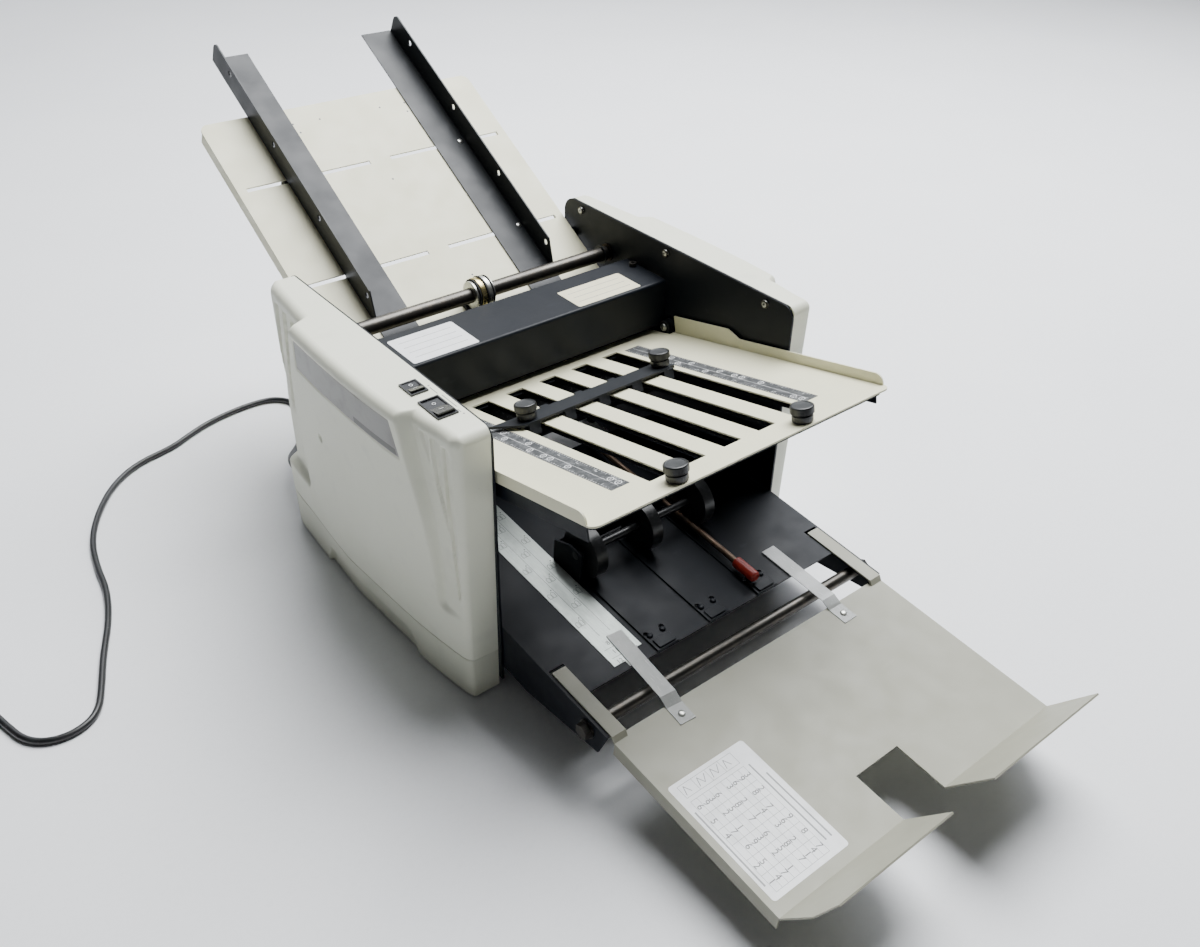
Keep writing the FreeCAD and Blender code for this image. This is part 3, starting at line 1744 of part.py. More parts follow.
def second_fold_table():
    half = second_half
    body = new_body("second_fold_table")
    sheet_outline = rectangle(-half, half, none, size.second_long)
    slots = [
        rectangle(middle - half_second_slot, middle + half_second_slot, size.second_slot_start, size.second_slot_end)
        for middle in second_slots
    ]
    pad(body, "XY_Plane", -second_high, -size.fold_gap / 2, [sheet_outline] + slots)
    for low in (-half, half - size.rail_wide):
        rail = rectangle(low, low + size.rail_wide, none, size.second_long)
        pad(body, "XY_Plane", -size.fold_gap / 2, size.fold_gap / 2, [rail])
    pad(body, "XY_Plane", size.fold_gap / 2, second_high, [sheet_outline] + slots)
    node(body, "second_fold_table", second_place)


second_fold_table()


def second_stop_bar():
    half = size.second_stop_half
    low = second_high + size.touch_gap
    start, end = size.second_stop_at, size.second_stop_at + size.second_stop_long
    pieces = [block((-half, start, low), (half, end, low + size.stop_wall))]
    half_finger = size.finger_wide / 2
    for middle in second_slots:
        corner = (middle - half_finger, start, -second_high)
        pieces.append(block(corner, (middle + half_finger, start + size.stop_wall, low)))
    node(join(pieces), "second_stop_bar", second_place)


second_stop_bar()

# Plastic side covers. Each row is one point of the plan outline, back to front: its place
# at the seam and at the top as shares of the cover's length behind the origin (or, when
# negative, in front of it), the depth it loses at the seam and at the top as shares of the
# cover's depth, and its shares of the lobe's step and of the valley.

COVER_POINT_SHARES = (
    (1.019, 1.000, 0.536, 0.357, 0.67, 0.00),
    (1.005, 0.962, 0.429, 0.268, 0.67, 0.00),
    (0.962, 0.864, 0.379, 0.214, 0.92, 0.00),
    (0.714, 0.535, 0.305, 0.125, 1.00, 0.00),
    (0.563, 0.493, 0.259, 0.107, 0.50, 0.00),
    (0.423, 0.451, 0.220, 0.089, 0.00, 0.00),
    (0.310, 0.282, 0.204, 0.036, 0.00, 0.00),
    (0.141, 0.094, 0.229, 0.000, 0.00, 0.00),
    (-0.069, -0.229, 0.259, 0.009, 0.00, 0.00),
    (-0.366, -0.397, 0.302, 0.054, 0.00, 0.00),
    (-0.534, -0.443, 0.339, 0.095, 0.00, 0.12),
    (-0.672, -0.481, 0.379, 0.130, 0.00, 0.78),
    (-0.733, -0.519, 0.398, 0.164, 0.00, 1.00),
    (-0.786, -0.565, 0.414, 0.205, 0.00, 0.80),
    (-0.832, -0.763, 0.432, 0.386, 0.00, 0.17),
    (-0.863, -0.901, 0.443, 0.482, 0.00, 0.00),
    (-0.893, -0.969, 0.455, 0.571, 0.00, 0.00),
    (-0.962, -1.000, 0.536, 0.714, 0.00, 0.00),
)
LOWER_LEVEL_SHARES = (0.0, 0.23, 0.31, 0.40, 0.51)
UPPER_LEVEL_SHARES = (0.545, 0.73, 0.89, 1.0)
ROUND_STEPS = 4


def lerp(first, second, share):
    return first + (second - first) * share


def cover_corners(depth, level, lobe, inset):
    """The plan outline at one height, moved inwards by the inset."""
    rise = (level - size.cover_seam.value) / (size.cover_top.value - size.cover_seam.value)
    valley_reach = size.cover_top.value - size.valley_foot.value
    valley = math.sqrt(min(max((level - size.valley_foot.value) / valley_reach, 0), 1))
    corners = []
    for low_y, high_y, low_x, high_x, lobe_share, valley_share in COVER_POINT_SHARES:
        place = lerp(low_y, high_y, rise)
        y = place * (size.cover_back if place > 0 else size.cover_front).value
        x = plate_outer.value + depth * (1 - lerp(low_x, high_x, rise))
        x -= lobe_share * lobe * size.lobe_depth.value
        x -= valley_share * valley * size.valley_depth.value
        corners.append((y, x - inset))
    back, front = corners[0][0] - inset, corners[-1][0] + inset
    return [(min(max(y, front), back), x) for y, x in corners]


def cover_wire(sign, corners, near, level):
    outline = [(corners[0][0], near)] + corners + [(corners[-1][0], near)]
    points = [FreeCAD.Vector(sign * x, y, level) for y, x in outline]
    if sign > 0:
        points.reverse()
    return Part.makePolygon(points + points[:1])


def cover_solid(sign, depth, low, high, inset, near):
    """A ruled loft up the cover, with a step where the rear lobe is let in and a round top."""
    radius = size.cover_round.value - inset
    seam, shoulder = size.cover_seam.value, high - radius
    levels = [(low, 0.0, inset)]
    levels += [(lerp(seam, shoulder, share), 0.0, inset) for share in LOWER_LEVEL_SHARES[1:]]
    levels += [(lerp(seam, shoulder, share), 1.0, inset) for share in UPPER_LEVEL_SHARES]
    for i in range(1, ROUND_STEPS + 1):
        turn = math.pi / 2 * i / ROUND_STEPS
        level = shoulder + radius * math.sin(turn)
        levels.append((level, 1.0, inset + radius * (1 - math.cos(turn))))
    wires = [
        cover_wire(sign, cover_corners(depth, level, lobe, lost), near, level)
        for level, lobe, lost in levels
    ]
    return Part.makeLoft(wires, True, True)


def switch_openings(left_cover):
    """Rectangular holes in the left cover's top for the two switches."""
    x = -(plate_outer + size.switch_in).value
    wall = size.bezel_wall.value
    deep = size.cover_round.value * 2
    for y, long, wide in (
        (size.small_switch_y, size.small_switch_long, size.small_switch_wide),
        (size.large_switch_y, size.large_switch_long, size.large_switch_wide),
    ):
        hole_x = wide.value - 2 * wall + 2 * size.seat_gap.value
        hole_y = long.value - 2 * wall + 2 * size.seat_gap.value
        corner = FreeCAD.Vector(x - hole_x / 2, -y.value - hole_y / 2, size.cover_top.value - deep)
        left_cover = left_cover.cut(Part.makeBox(hole_x, hole_y, deep * 2, corner))
    return left_cover


def side_cover(side):
    sign = SIDES[side]
    depth = (size.left_depth if side == "left" else size.right_depth).value
    wall, near = size.cover_wall.value, plate_outer.value
    seam, top = size.cover_seam.value, size.cover_top.value
    shell = cover_solid(sign, depth, seam, top, 0.0, near)
    shell = shell.cut(cover_solid(sign, depth, seam - wall, top - wall, wall, near - wall))
    for step in (-1, 0, 1):
        middle = size.vent_y.value + step * size.vent_pitch.value
        low = size.vent_low.value
        length = size.vent_high.value - low
        start = near + wall if sign > 0 else -near - wall - depth
        corner = FreeCAD.Vector(start, middle - size.vent_wide.value / 2, low)
        shell = shell.cut(Part.makeBox(depth, size.vent_wide.value, length, corner))
    if side == "left":
        shell = switch_openings(shell)
    node(feature(shell), f"{side}_cover")


for side in SIDES:
    side_cover(side)

# Base of each cover: a low tray under the seam with an arch let into its outer face.

BASE_DRAFT_SHARE = 0.35


def base_solid(sign, depth, low, high, inset, near):
    wires = []
    for level in (low, high):
        draft = BASE_DRAFT_SHARE * size.cover_wall.value * (high - level) / (high - low)
        corners = cover_corners(depth, size.cover_seam.value, 0.0, inset + draft)
        wires.append(cover_wire(sign, corners, near, level))
    return Part.makeLoft(wires, True, True)


def cover_base(side):
    sign = SIDES[side]
    depth = (size.left_depth if side == "left" else size.right_depth).value
    wall, near = size.cover_wall.value, plate_outer.value
    foot, seam = size.base_foot.value, size.cover_seam.value
    floor = size.base_floor.value + wall
    shell = base_solid(sign, depth, foot, seam, 0, near)
    shell = shell.cut(base_solid(sign, depth, floor, seam + wall, wall, near - wall))
    shell = shell.cut(base_solid(sign, depth, foot - wall, size.base_floor.value, wall, near - wall))
    front, back = -size.arch_front.value, size.arch_back.value
    high, slant = size.arch_high.value, size.arch_slant.value
    arch = [(front - slant, 0), (back + slant, 0), (back, high), (front, high)]
    points = [FreeCAD.Vector(sign * near, y, z) for y, z in arch]
    tool = Part.Face(Part.makePolygon(points + points[:1])).extrude(X_AXIS * (sign * depth))
    tool = tool.cut(base_solid(sign, depth, foot, seam, size.arch_deep.value, near))
    shell = shell.cut(tool)
    if side == "left":
        shell = shell.cut(
            Part.makeCylinder(
                (size.gland_neck + size.seat_gap).value,
                depth,
                FreeCAD.Vector(gland_x.value, size.cover_back.value - wall * 2, size.gland_z.value),
                Y_AXIS,
            )
        )
    node(feature(shell), f"{side}_cover_base")


gland_x = -(plate_outer + size.gland_in)
for side in SIDES:
    cover_base(side)


def rubber_feet():
    feet = []
    for sign in SIDES.values():
        x = sign * (plate_outer + size.foot_in)
        for y in (size.foot_end - size.cover_front, size.cover_back - size.foot_end):
            feet.append(round_bar("z", (x, y, none), size.base_floor, size.foot_radius))
    node(group(feet), "rubber_feet")


rubber_feet()

# Rocker switches: a rim that stands on the cover, a sleeve through it, and the rocker.

switch_x = -(plate_outer + size.switch_in)
SWITCHES = {
    "small": (-size.small_switch_y, size.small_switch_wide, size.small_switch_long),
    "large": (-size.large_switch_y, size.large_switch_wide, size.large_switch_long),
}


def switch_bezels():
    bezels = []
    top = size.cover_top
    for y, wide, long in SWITCHES.values():
        half_x, half_y = wide / 2, long / 2
        wall = size.bezel_wall
        rim = block(
            (switch_x - half_x, y - half_y, top),
            (switch_x + half_x, y + half_y, top + size.bezel_raise),
        )
        sleeve = block(
            (switch_x - half_x + wall, y - half_y + wall, top - size.bezel_depth),
            (switch_x + half_x - wall, y + half_y - wall, top),
        )
        inner_x, inner_y = half_x - size.bezel_rim, half_y - size.bezel_rim
        well = block(
            (switch_x - inner_x, y - inner_y, top - size.bezel_depth + size.bezel_rim),
            (switch_x + inner_x, y + inner_y, top + size.bezel_raise),
        )
        pin_hole = round_bar(
            "x",
            (switch_x - half_x + wall, y, rocker_axis_z),
            wide - wall * 2,
            size.rocker_pin + size.running_gap * 2,
        )
        bezels.append(cut(join([rim, sleeve]), [well, pin_hole]))
    node(group(bezels), "switch_bezels")


rocker_axis_z = size.cover_top - size.rocker_deep / 2


def rocker(name):
    """A dished rocker on two side pins, pressed down at its back."""
    y, wide, long = SWITCHES[name]
    half_x = wide / 2 - size.bezel_rim - size.rocker_gap
    half_y = long / 2 - size.bezel_rim - size.rocker_gap * 3
    deep = size.rocker_deep
    high = size.rocker_rise
    foot_y = half_y - size.rocker_gap * 3
    profile = [
        (-foot_y, -deep),
        (foot_y, -deep),
        (half_y, none),
        (half_y - size.rocker_gap, high),
        (none, high - size.rocker_dip),
        (size.rocker_gap - half_y, high),
        (-half_y, none),
    ]
    paddle = slab("YZ_Plane", -half_x, half_x, [profile])
    pin_half = wide / 2 - size.bezel_wall - size.rocker_gap
    pivot = round_bar("x", (-pin_half, none, none), pin_half * 2, size.rocker_pin)
    place = Place(y, rocker_axis_z, size.rocker_tilt, DOWNWARD)
    node(join([paddle, pivot]), f"{name}_rocker", place, (switch_x, none, none))


switch_bezels()
for name in SWITCHES:
    rocker(name)

# Strain relief in the left base's rear wall; its taper is the last thing the cord leaves.

seam_back = size.cover_back * COVER_POINT_SHARES[0][0]
cord_radius = size.cord_diameter / 2


def strain_relief():
    wall = size.cover_wall
    inside = -(wall + size.touch_gap * 3)
    points = [
        (none, inside - size.gland_flange),
        (size.gland_radius, inside - size.gland_flange),
        (size.gland_radius, inside),
        (size.gland_neck, inside),
        (size.gland_neck, none),
        (size.gland_radius, none),
        (size.gland_radius, size.gland_flange),
        (size.gland_tip, size.gland_long),
        (none, size.gland_long),
    ]
    body = turned("strain_relief", "XY_Plane", "V_Axis", points)
    node(body, "strain_relief", spot=(gland_x, seam_back, size.gland_z))


strain_relief()

# The mains cord leaves the strain relief, drops behind the machine and lies on the floor
# at its left, where the rest of its length lies in a flat coil that ends in the plug.

cord_z = (cord_radius + size.cord_lift).value
gland_end = FreeCAD.Vector(gland_x.value, (seam_back + size.gland_long).value, size.gland_z.value)
CORD_DROP = [(-180, 273, 32), (-170, 300, 25), (-152, 326, 13), (-133, 354, 5)]
CORD_FLOOR = [
    (-114, 384),
    (-102, 412),
    (-101.3, 439.8),
    (-111.1, 456.9),
    (-128.2, 466.7),
    (-165, 467),
    (-205, 459),
    (-235, 446),
    (-262, 432),
    (-306, 424),
    (-343, 399),
    (-374, 357),
    (-396, 312),
    (-406, 264),
    (-410, 222),
    (-424, 176),
    (-446, 128),
    (-458, 95),
    (-471.3, 63.5),
    (-491.3, 51.6),
    (-514.4, 53.4),
    (-532.4, 68.3),
    (-540.5, 97),
]
CORD_TRIM_SHARE = 0.45
COIL_START = (-556, 160)
COIL_START_TURN = 15
COIL_TURNS = 4
QUARTERS = COIL_TURNS * 4
HALFWAY = QUARTERS / 2


def coil_angle(quarter):
    return math.radians(COIL_START_TURN) + quarter * math.pi / 2


def coil_radius(quarter):
    return size.coil_inner.value + size.coil_pitch.value * abs(quarter - HALFWAY) / 4


def outward(angle):
    return FreeCAD.Vector(math.cos(angle), math.sin(angle), 0)


coil_z = (cord_radius + size.coil_lift).value
coil_centre = FreeCAD.Vector(*COIL_START, coil_z) - outward(coil_angle(0)) * coil_radius(0)


def coil_point(quarter):
    """The coil winds in on the floor, climbs one layer at its middle and winds out again."""
    climb = min(max((quarter - HALFWAY + 1) / 2, 0), 1)
    out = outward(coil_angle(quarter)) * coil_radius(quarter)
    return coil_centre + out + Z_AXIS * (climb * size.coil_pitch.value)


def coil_heading(quarter):
    """The direction of the cord at a quarter turn, from its rates outwards and upwards."""
    pitch, angle = size.coil_pitch.value, coil_angle(quarter)
    along = outward(angle + math.pi / 2)
    side = (quarter > HALFWAY) - (quarter < HALFWAY)
    rate = side * pitch / (2 * math.pi * coil_radius(quarter))
    lift = pitch / (math.pi * coil_radius(quarter)) if quarter == HALFWAY else 0
    return (along + outward(angle) * rate + Z_AXIS * lift).normalize()


def arc_from(start, heading, end):
    """The arc that leaves start along the heading and reaches end."""
    chord = end - start
    across = heading.cross(chord).cross(heading).normalize()
    radius = chord.dot(chord) / (2 * chord.dot(across))
    centre = start + across * radius
    middle = centre + ((start + end) / 2 - centre).normalize() * radius
    return Part.Arc(start, middle, end).toShape()


def biarc(start, heading, end, heading_end):
    """Two arcs that join two points and keep both directions."""
    gap = end - start
    both = heading + heading_end
    spread = 2 * (1 - heading.dot(heading_end))
    reach = (math.sqrt(gap.dot(both) ** 2 + spread * gap.dot(gap)) - gap.dot(both)) / spread
    meet = (start + end + (heading - heading_end) * reach) / 2
    return [arc_from(start, heading, meet), arc_from(end, -heading_end, meet)]


def pipe(edges, start, heading):
    path = Part.Wire(Part.__sortEdges__(edges))
    ring = Part.Wire(Part.makeCircle(cord_radius.value, start, heading))
    tube = path.makePipeShell([ring], True, False)
    expected = math.pi * cord_radius.value**2 * path.Length
    print(f"length {path.Length:.0f} mm, volume over expected {tube.Volume / expected:.4f}")
    return tube, path


coil_lead = size.cord_diameter.value
coil_entry = coil_point(0) - coil_heading(0) * coil_lead
coil_exit = coil_point(QUARTERS) + coil_heading(QUARTERS) * size.coil_tail.value


def cord_coil():
    edges = [Part.LineSegment(coil_entry, coil_point(0)).toShape()]
    for quarter in range(QUARTERS):
        first, last = coil_point(quarter), coil_point(quarter + 1)
        edges += biarc(first, coil_heading(quarter), last, coil_heading(quarter + 1))
    edges.append(Part.LineSegment(coil_point(QUARTERS), coil_exit).toShape())
    tube, path = pipe(edges, coil_entry, coil_heading(0))
    samples = [point for edge in path.OrderedEdges for point in edge.discretize(8)[:-1]]
    skip = len(samples) // (COIL_TURNS * 2)
    gaps = [
        (samples[i] - samples[j]).Length - size.cord_diameter.value
        for i in range(len(samples))
        for j in range(i + skip, len(samples))
    ]
    print(f"least gap between the coil's turns {min(gaps):.2f} mm")
    node(feature(tube), "cord_coil")


cord_coil()


def cord_tie():
    """A strap round the coil, opposite the place where the cord comes in."""
    across, radius = QUARTERS / 8, cord_radius.value
    wall, gap = size.tie_wall.value, size.tie_gap.value
    low = size.coil_lift.value - gap
    high = size.coil_lift.value + size.coil_pitch.value + size.cord_diameter.value + gap
    near = coil_radius(across + QUARTERS / 4) - radius - size.tie_inner_gap.value
    far = coil_radius(across) + radius + gap
    half = size.tie_wide.value / 2

    def ring(grow):
        corner = FreeCAD.Vector(near - grow, -half, low - grow)
        box = Part.makeBox(far - near + 2 * grow, 2 * half, high - low + 2 * grow, corner)
        edges = [edge for edge in box.Edges if abs(edge.tangentAt(0).y) > 0.5]
        return box.makeFillet(size.tie_round.value + grow, edges)

    spot = FreeCAD.Vector(coil_centre.x, coil_centre.y, 0)
    turn = COIL_START_TURN + across * RIGHT_ANGLE
    node(turned_feature(ring(wall).cut(ring(0)), spot, turn), "cord_tie")


cord_tie()


def cord():
    """Straight runs joined by tangent arcs as large as the runs allow."""
    floor = [FreeCAD.Vector(x, y, cord_z) for x, y in CORD_FLOOR]
    drop = [FreeCAD.Vector(*point) for point in CORD_DROP]
    last_run = (floor[-1] - coil_entry).Length / 2
    before = coil_entry - coil_heading(0) * last_run
    points = [gland_end] + drop + floor + [before, coil_entry]
    edges, radii, here = [], [], points[0]
    for i in range(1, len(points) - 1):
        back, ahead = points[i - 1] - points[i], points[i + 1] - points[i]
        turn = math.pi - back.getAngle(ahead)
        trim = CORD_TRIM_SHARE * min(back.Length, ahead.Length)
        radius = trim / math.tan(turn / 2)
        radii.append(radius)
        enter = points[i] + back.normalize() * trim
        leave = points[i] + ahead.normalize() * trim
        bulge = radius / math.cos(turn / 2) - radius
        middle = points[i] + (back + ahead).normalize() * bulge
        edges.append(Part.LineSegment(here, enter).toShape())
        edges.append(Part.Arc(enter, middle, leave).toShape())
        here = leave
    edges.append(Part.LineSegment(here, points[-1]).toShape())
    print("cord bend radii", " ".join(f"{radius:.0f}" for radius in radii))
    tube = pipe(edges, points[0], points[1] - points[0])[0]
    node(feature(tube), "cord")


cord()


def plug():
    """A moulded plug with two blades and a round earth pin."""
    half_wide, high = size.plug_wide.value / 2, size.plug_high.value
    start, long = size.plug_taper.value, size.plug_long.value
    cone = Part.makeCone(size.gland_tip.value, high / 2, start, ORIGIN, Y_AXIS)
    box = Part.makeBox(half_wide * 2, long, high, FreeCAD.Vector(-half_wide, start, -high / 2))
    edges = [edge for edge in box.Edges if abs(edge.tangentAt(0).y) > 0.5]
    body = cone.fuse(box.makeFillet(size.plug_round.value, edges))
    blade_wide, wall = size.blade_wide.value, size.blade_wall.value
    for sign in SIDES.values():
        corner = FreeCAD.Vector(
            sign * size.blade_pitch.value / 2 - wall / 2, start + long, size.blade_up.value
        )
        body = body.fuse(Part.makeBox(wall, size.blade_long.value, blade_wide, corner))
    root = FreeCAD.Vector(0, start + long, -size.earth_drop.value)
    body = body.fuse(Part.makeCylinder(size.earth_radius.value, size.blade_long.value, root, Y_AXIS))
    heading = coil_heading(QUARTERS)
    turn = math.degrees(math.atan2(heading.y, heading.x)) - RIGHT_ANGLE
    node(turned_feature(body, coil_exit, turn), "plug")


plug()

doc.recompute()

for item in pockets:
    taken = item.BaseFeature.Shape.Volume - item.Shape.Volume
    print(f"{item.Name} takes {taken:.1f} mm3")

for item in doc.Objects:
    if "Invalid" in item.State or "Error" in item.State:
        raise RuntimeError(f"{item.Label}: {item.State}")
    if item.isDerivedFrom("Sketcher::SketchObject") and not item.FullyConstrained:
        print(f"{item.Name} is not fully constrained")

os.makedirs("parts", exist_ok=True)
for label, item in nodes.items():
    shape = item.Shape
    if shape.isNull() or not shape.isValid() or not shape.Solids:
        raise RuntimeError(f"{label}: no valid solid")
    shape.exportStep(f"parts/{label}.step")
print(f"{len(nodes)} sub-parts")
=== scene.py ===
import math

import bmesh
import bpy
from mathutils import Matrix, Vector


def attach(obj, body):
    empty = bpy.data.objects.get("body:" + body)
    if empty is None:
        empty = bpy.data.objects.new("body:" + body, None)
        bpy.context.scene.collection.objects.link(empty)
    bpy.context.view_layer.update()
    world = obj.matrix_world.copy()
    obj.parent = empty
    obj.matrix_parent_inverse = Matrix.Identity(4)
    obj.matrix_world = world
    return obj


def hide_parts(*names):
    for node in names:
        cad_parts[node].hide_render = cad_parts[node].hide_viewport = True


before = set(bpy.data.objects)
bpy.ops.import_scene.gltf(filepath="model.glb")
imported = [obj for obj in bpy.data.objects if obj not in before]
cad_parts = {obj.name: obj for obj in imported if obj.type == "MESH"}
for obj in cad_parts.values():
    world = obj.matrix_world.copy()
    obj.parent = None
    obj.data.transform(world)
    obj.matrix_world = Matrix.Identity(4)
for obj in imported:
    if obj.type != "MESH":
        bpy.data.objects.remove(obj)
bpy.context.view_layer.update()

# Lengths are millimetres of the machine, from the middle of its side plates on the table top.
MM = 0.001
ROW_SHIFT = Vector((5.5, 10.29, 0))


def spot(x, y, z):
    """A point of the machine in the row frame, in metres."""
    return (Vector((x, y, z)) + ROW_SHIFT) * MM


def slope(back, up, degrees):
    """A table's own frame: x across, y up the slope to the back, z off its face, in millimetres."""
    return Matrix.Translation(spot(0, back, up)) @ Matrix.Rotation(math.radians(degrees), 4, "X") @ Matrix.Scale(MM, 4)


machine = slope(0, 0, 0)
feed_table = slope(155.066, 225.486, 30.2)
fold_table = slope(35.7, 194.9, -13.2)
exit_deck = slope(-233, 70, 4.6)


# The camera stands where the photographer held it.


CAMERA_HEADING, CAMERA_PITCH, CAMERA_LEAN = 39.304, 35.452, 1.265
CAMERA_PLACE = (-559.40, -742.42, 756.73)
SENSOR_WIDE, FOCAL_LENGTH = 36, 33.385
SHIFT_ACROSS, SHIFT_UP = -0.00099, 0.00222


def add_camera():
    heading, pitch, lean = map(math.radians, (CAMERA_HEADING, CAMERA_PITCH, CAMERA_LEAN))
    level = Vector((math.cos(heading), -math.sin(heading), 0))
    ahead = Vector((math.sin(heading) * math.cos(pitch), math.cos(heading) * math.cos(pitch), -math.sin(pitch)))
    right = level * math.cos(lean) + level.cross(ahead) * math.sin(lean)
    turn = Matrix((right, right.cross(ahead), -ahead)).transposed().to_4x4()
    lens = bpy.data.cameras.new("camera")
    lens.sensor_width = SENSOR_WIDE
    lens.lens = FOCAL_LENGTH
    lens.shift_x = SHIFT_ACROSS
    lens.shift_y = SHIFT_UP
    lens.clip_start = 0.02
    lens.clip_end = 50
    camera = bpy.data.objects.new("camera", lens)
    camera.matrix_world = Matrix.Translation(spot(*CAMERA_PLACE)) @ turn
    bpy.context.scene.collection.objects.link(camera)
    bpy.context.scene.camera = camera


add_camera()


# Finishes.


def linear(colour):
    """An sRGB hex colour in linear light."""
    shares = [int(colour[i : i + 2], 16) / 255 for i in (1, 3, 5)]
    return tuple(s / 12.92 if s <= 0.04045 else ((s + 0.055) / 1.055) ** 2.4 for s in shares) + (1.0,)


def add(tree, kind, sockets=None, links=None, **settings):
    """One node with its settings, the values of its sockets and the links into them."""
    node = tree.nodes.new(kind)
    for name, setting in settings.items():
        setattr(node, name, setting)
    for name, value in (sockets or {}).items():
        node.inputs[name].default_value = value
    for name, source in (links or {}).items():
        tree.links.new(source, node.inputs[name])
    return node


def new_finish(name, **sockets):
    """A material whose even values sit on its shader's own sockets."""
    material = bpy.data.materials.new(name)
    material.use_nodes = True
    tree = material.node_tree
    tree.nodes.clear()
    values = {socket.replace("_", " "): value for socket, value in sockets.items()}
    shader = add(tree, "ShaderNodeBsdfPrincipled", values)
    add(tree, "ShaderNodeOutputMaterial", links={"Surface": shader.outputs[0]})
    return material, tree, shader


def patches(tree, size, first, last, detail=3.0, stretch=(1, 1, 1)):
    """A pattern from 0 to 1 whose patches are about size mm across, cut between two levels of its noise."""
    place = add(tree, "ShaderNodeTexCoord")
    scaled = add(tree, "ShaderNodeMapping", {"Scale": stretch}, {"Vector": place.outputs["Object"]})
    noise = add(tree, "ShaderNodeTexNoise", {"Scale": 1 / (size * MM), "Detail": detail}, {"Vector": scaled.outputs[0]})
    levels = {"From Min": first, "From Max": last}
    return add(tree, "ShaderNodeMapRange", levels, {"Value": noise.outputs["Fac"]}).outputs["Result"]


def toned(tree, shader, base, layers):
    """The base colour with one colour after another laid over it through its pattern and strength."""
    colour = None
    for pattern, strength, over in layers:
        amount = add(tree, "ShaderNodeMath", {1: strength}, {0: pattern}, operation="MULTIPLY").outputs[0]
        links = {0: amount} if colour is None else {0: amount, 6: colour}
        sockets = {6: linear(base), 7: linear(over)} if colour is None else {7: linear(over)}
        colour = add(tree, "ShaderNodeMix", sockets, links, data_type="RGBA").outputs[2]
    tree.links.new(colour, shader.inputs["Base Color"])


def sheen(tree, shader, pattern, low, high):
    """Roughness that runs between two values with a pattern."""
    spread = add(tree, "ShaderNodeMapRange", {"To Min": low, "To Max": high}, {"Value": pattern})
    tree.links.new(spread.outputs["Result"], shader.inputs["Roughness"])


def grain(tree, shader, layers):
    """Bumps of the given patterns, each with its height in mm."""
    normal = None
    for pattern, height in layers:
        links = {"Height": pattern} if normal is None else {"Height": pattern, "Normal": normal}
        normal = add(tree, "ShaderNodeBump", {"Distance": height * MM}, links).outputs[0]
    tree.links.new(normal, shader.inputs["Normal"])


def moulded_abs(name, colour, shade):
    """ABS moulded in a spark-eroded tool: a fine even grain, a soft sheen, and grey hand marks where it is held."""
    material, tree, shader = new_finish(name, IOR=1.53, Specular_IOR_Level=0.45)
    cloudy = patches(tree, 90, 0.35, 0.7)
    grime = patches(tree, 26, 0.58, 0.76, 8)
    scuffs = patches(tree, 4, 0.74, 0.79, 6, (1, 0.35, 0.6))
    toned(tree, shader, colour, [(cloudy, 0.3, shade), (grime, 0.14, "#a9a89f"), (scuffs, 0.3, "#8a8981")])
    sheen(tree, shader, patches(tree, 30, 0.3, 0.7), 0.42, 0.56)
    # The real grain is about 0.2 mm; it is drawn at 0.9 mm so that it shows in the render.
    grain(tree, shader, [(patches(tree, 0.9, 0.2, 0.8), 0.035), (patches(tree, 60, 0.2, 0.8, 1), 0.5)])
    return material


def powder_coat(name, colour, shade, chip, low, high, gloss=0.5):
    """Powder-coated sheet steel: orange peel about 2 mm across, cloudy tone, fine dust and a few rubbed marks."""
    material, tree, shader = new_finish(name, IOR=1.5, Specular_IOR_Level=gloss)
    cloudy = patches(tree, 70, 0.35, 0.68)
    dust = patches(tree, 1.4, 0.76, 0.82, 2)
    rubs = patches(tree, 18, 0.66, 0.8, 9, (0.5, 1, 1))
    toned(tree, shader, colour, [(cloudy, 0.4, shade), (rubs, 0.16, chip), (dust, 0.4, chip)])
    sheen(tree, shader, patches(tree, 25, 0.3, 0.7, 5), low, high)
    grain(tree, shader, [(patches(tree, 2.0, 0.2, 0.8, 1), 0.02), (patches(tree, 110, 0.2, 0.8, 1), 0.6)])
    return material


def drawn_metal(name, colour, shade, low, high, stretch, spot_colour, spot_share):
    """Bare drawn or turned metal: fine lines along its length, and spots of age."""
    material, tree, shader = new_finish(name, Metallic=1.0)
    lines = patches(tree, 0.8, 0.3, 0.7, 3, stretch)
    age = patches(tree, 7, 0.5, 0.62, 8)
    toned(tree, shader, colour, [(lines, 0.45, shade), (age, spot_share, spot_colour)])
    sheen(tree, shader, lines, low, high)
    grain(tree, shader, [(lines, 0.01), (age, 0.02)])
    return material


def moulded_nylon(name, colour, shade, low, high):
    """Black nylon, moulded: close grain, worn a little brighter on its rims."""
    material, tree, shader = new_finish(name, IOR=1.53)
    wear = patches(tree, 3, 0.5, 0.75, 6)
    toned(tree, shader, colour, [(wear, 0.5, shade)])
    sheen(tree, shader, wear, low, high)
    grain(tree, shader, [(patches(tree, 0.6, 0.2, 0.8), 0.02)])
    return material


def rubber(name, colour, shade):
    """Vulcanised rubber, ground to size: dull, with paper dust in its pores."""
    material, tree, shader = new_finish(name, IOR=1.52, Specular_IOR_Level=0.35)
    dust = patches(tree, 2.5, 0.55, 0.72, 6)
    toned(tree, shader, colour, [(dust, 0.6, shade)])
    sheen(tree, shader, dust, 0.62, 0.82)
    grain(tree, shader, [(patches(tree, 0.7, 0.2, 0.8), 0.05)])
    return material


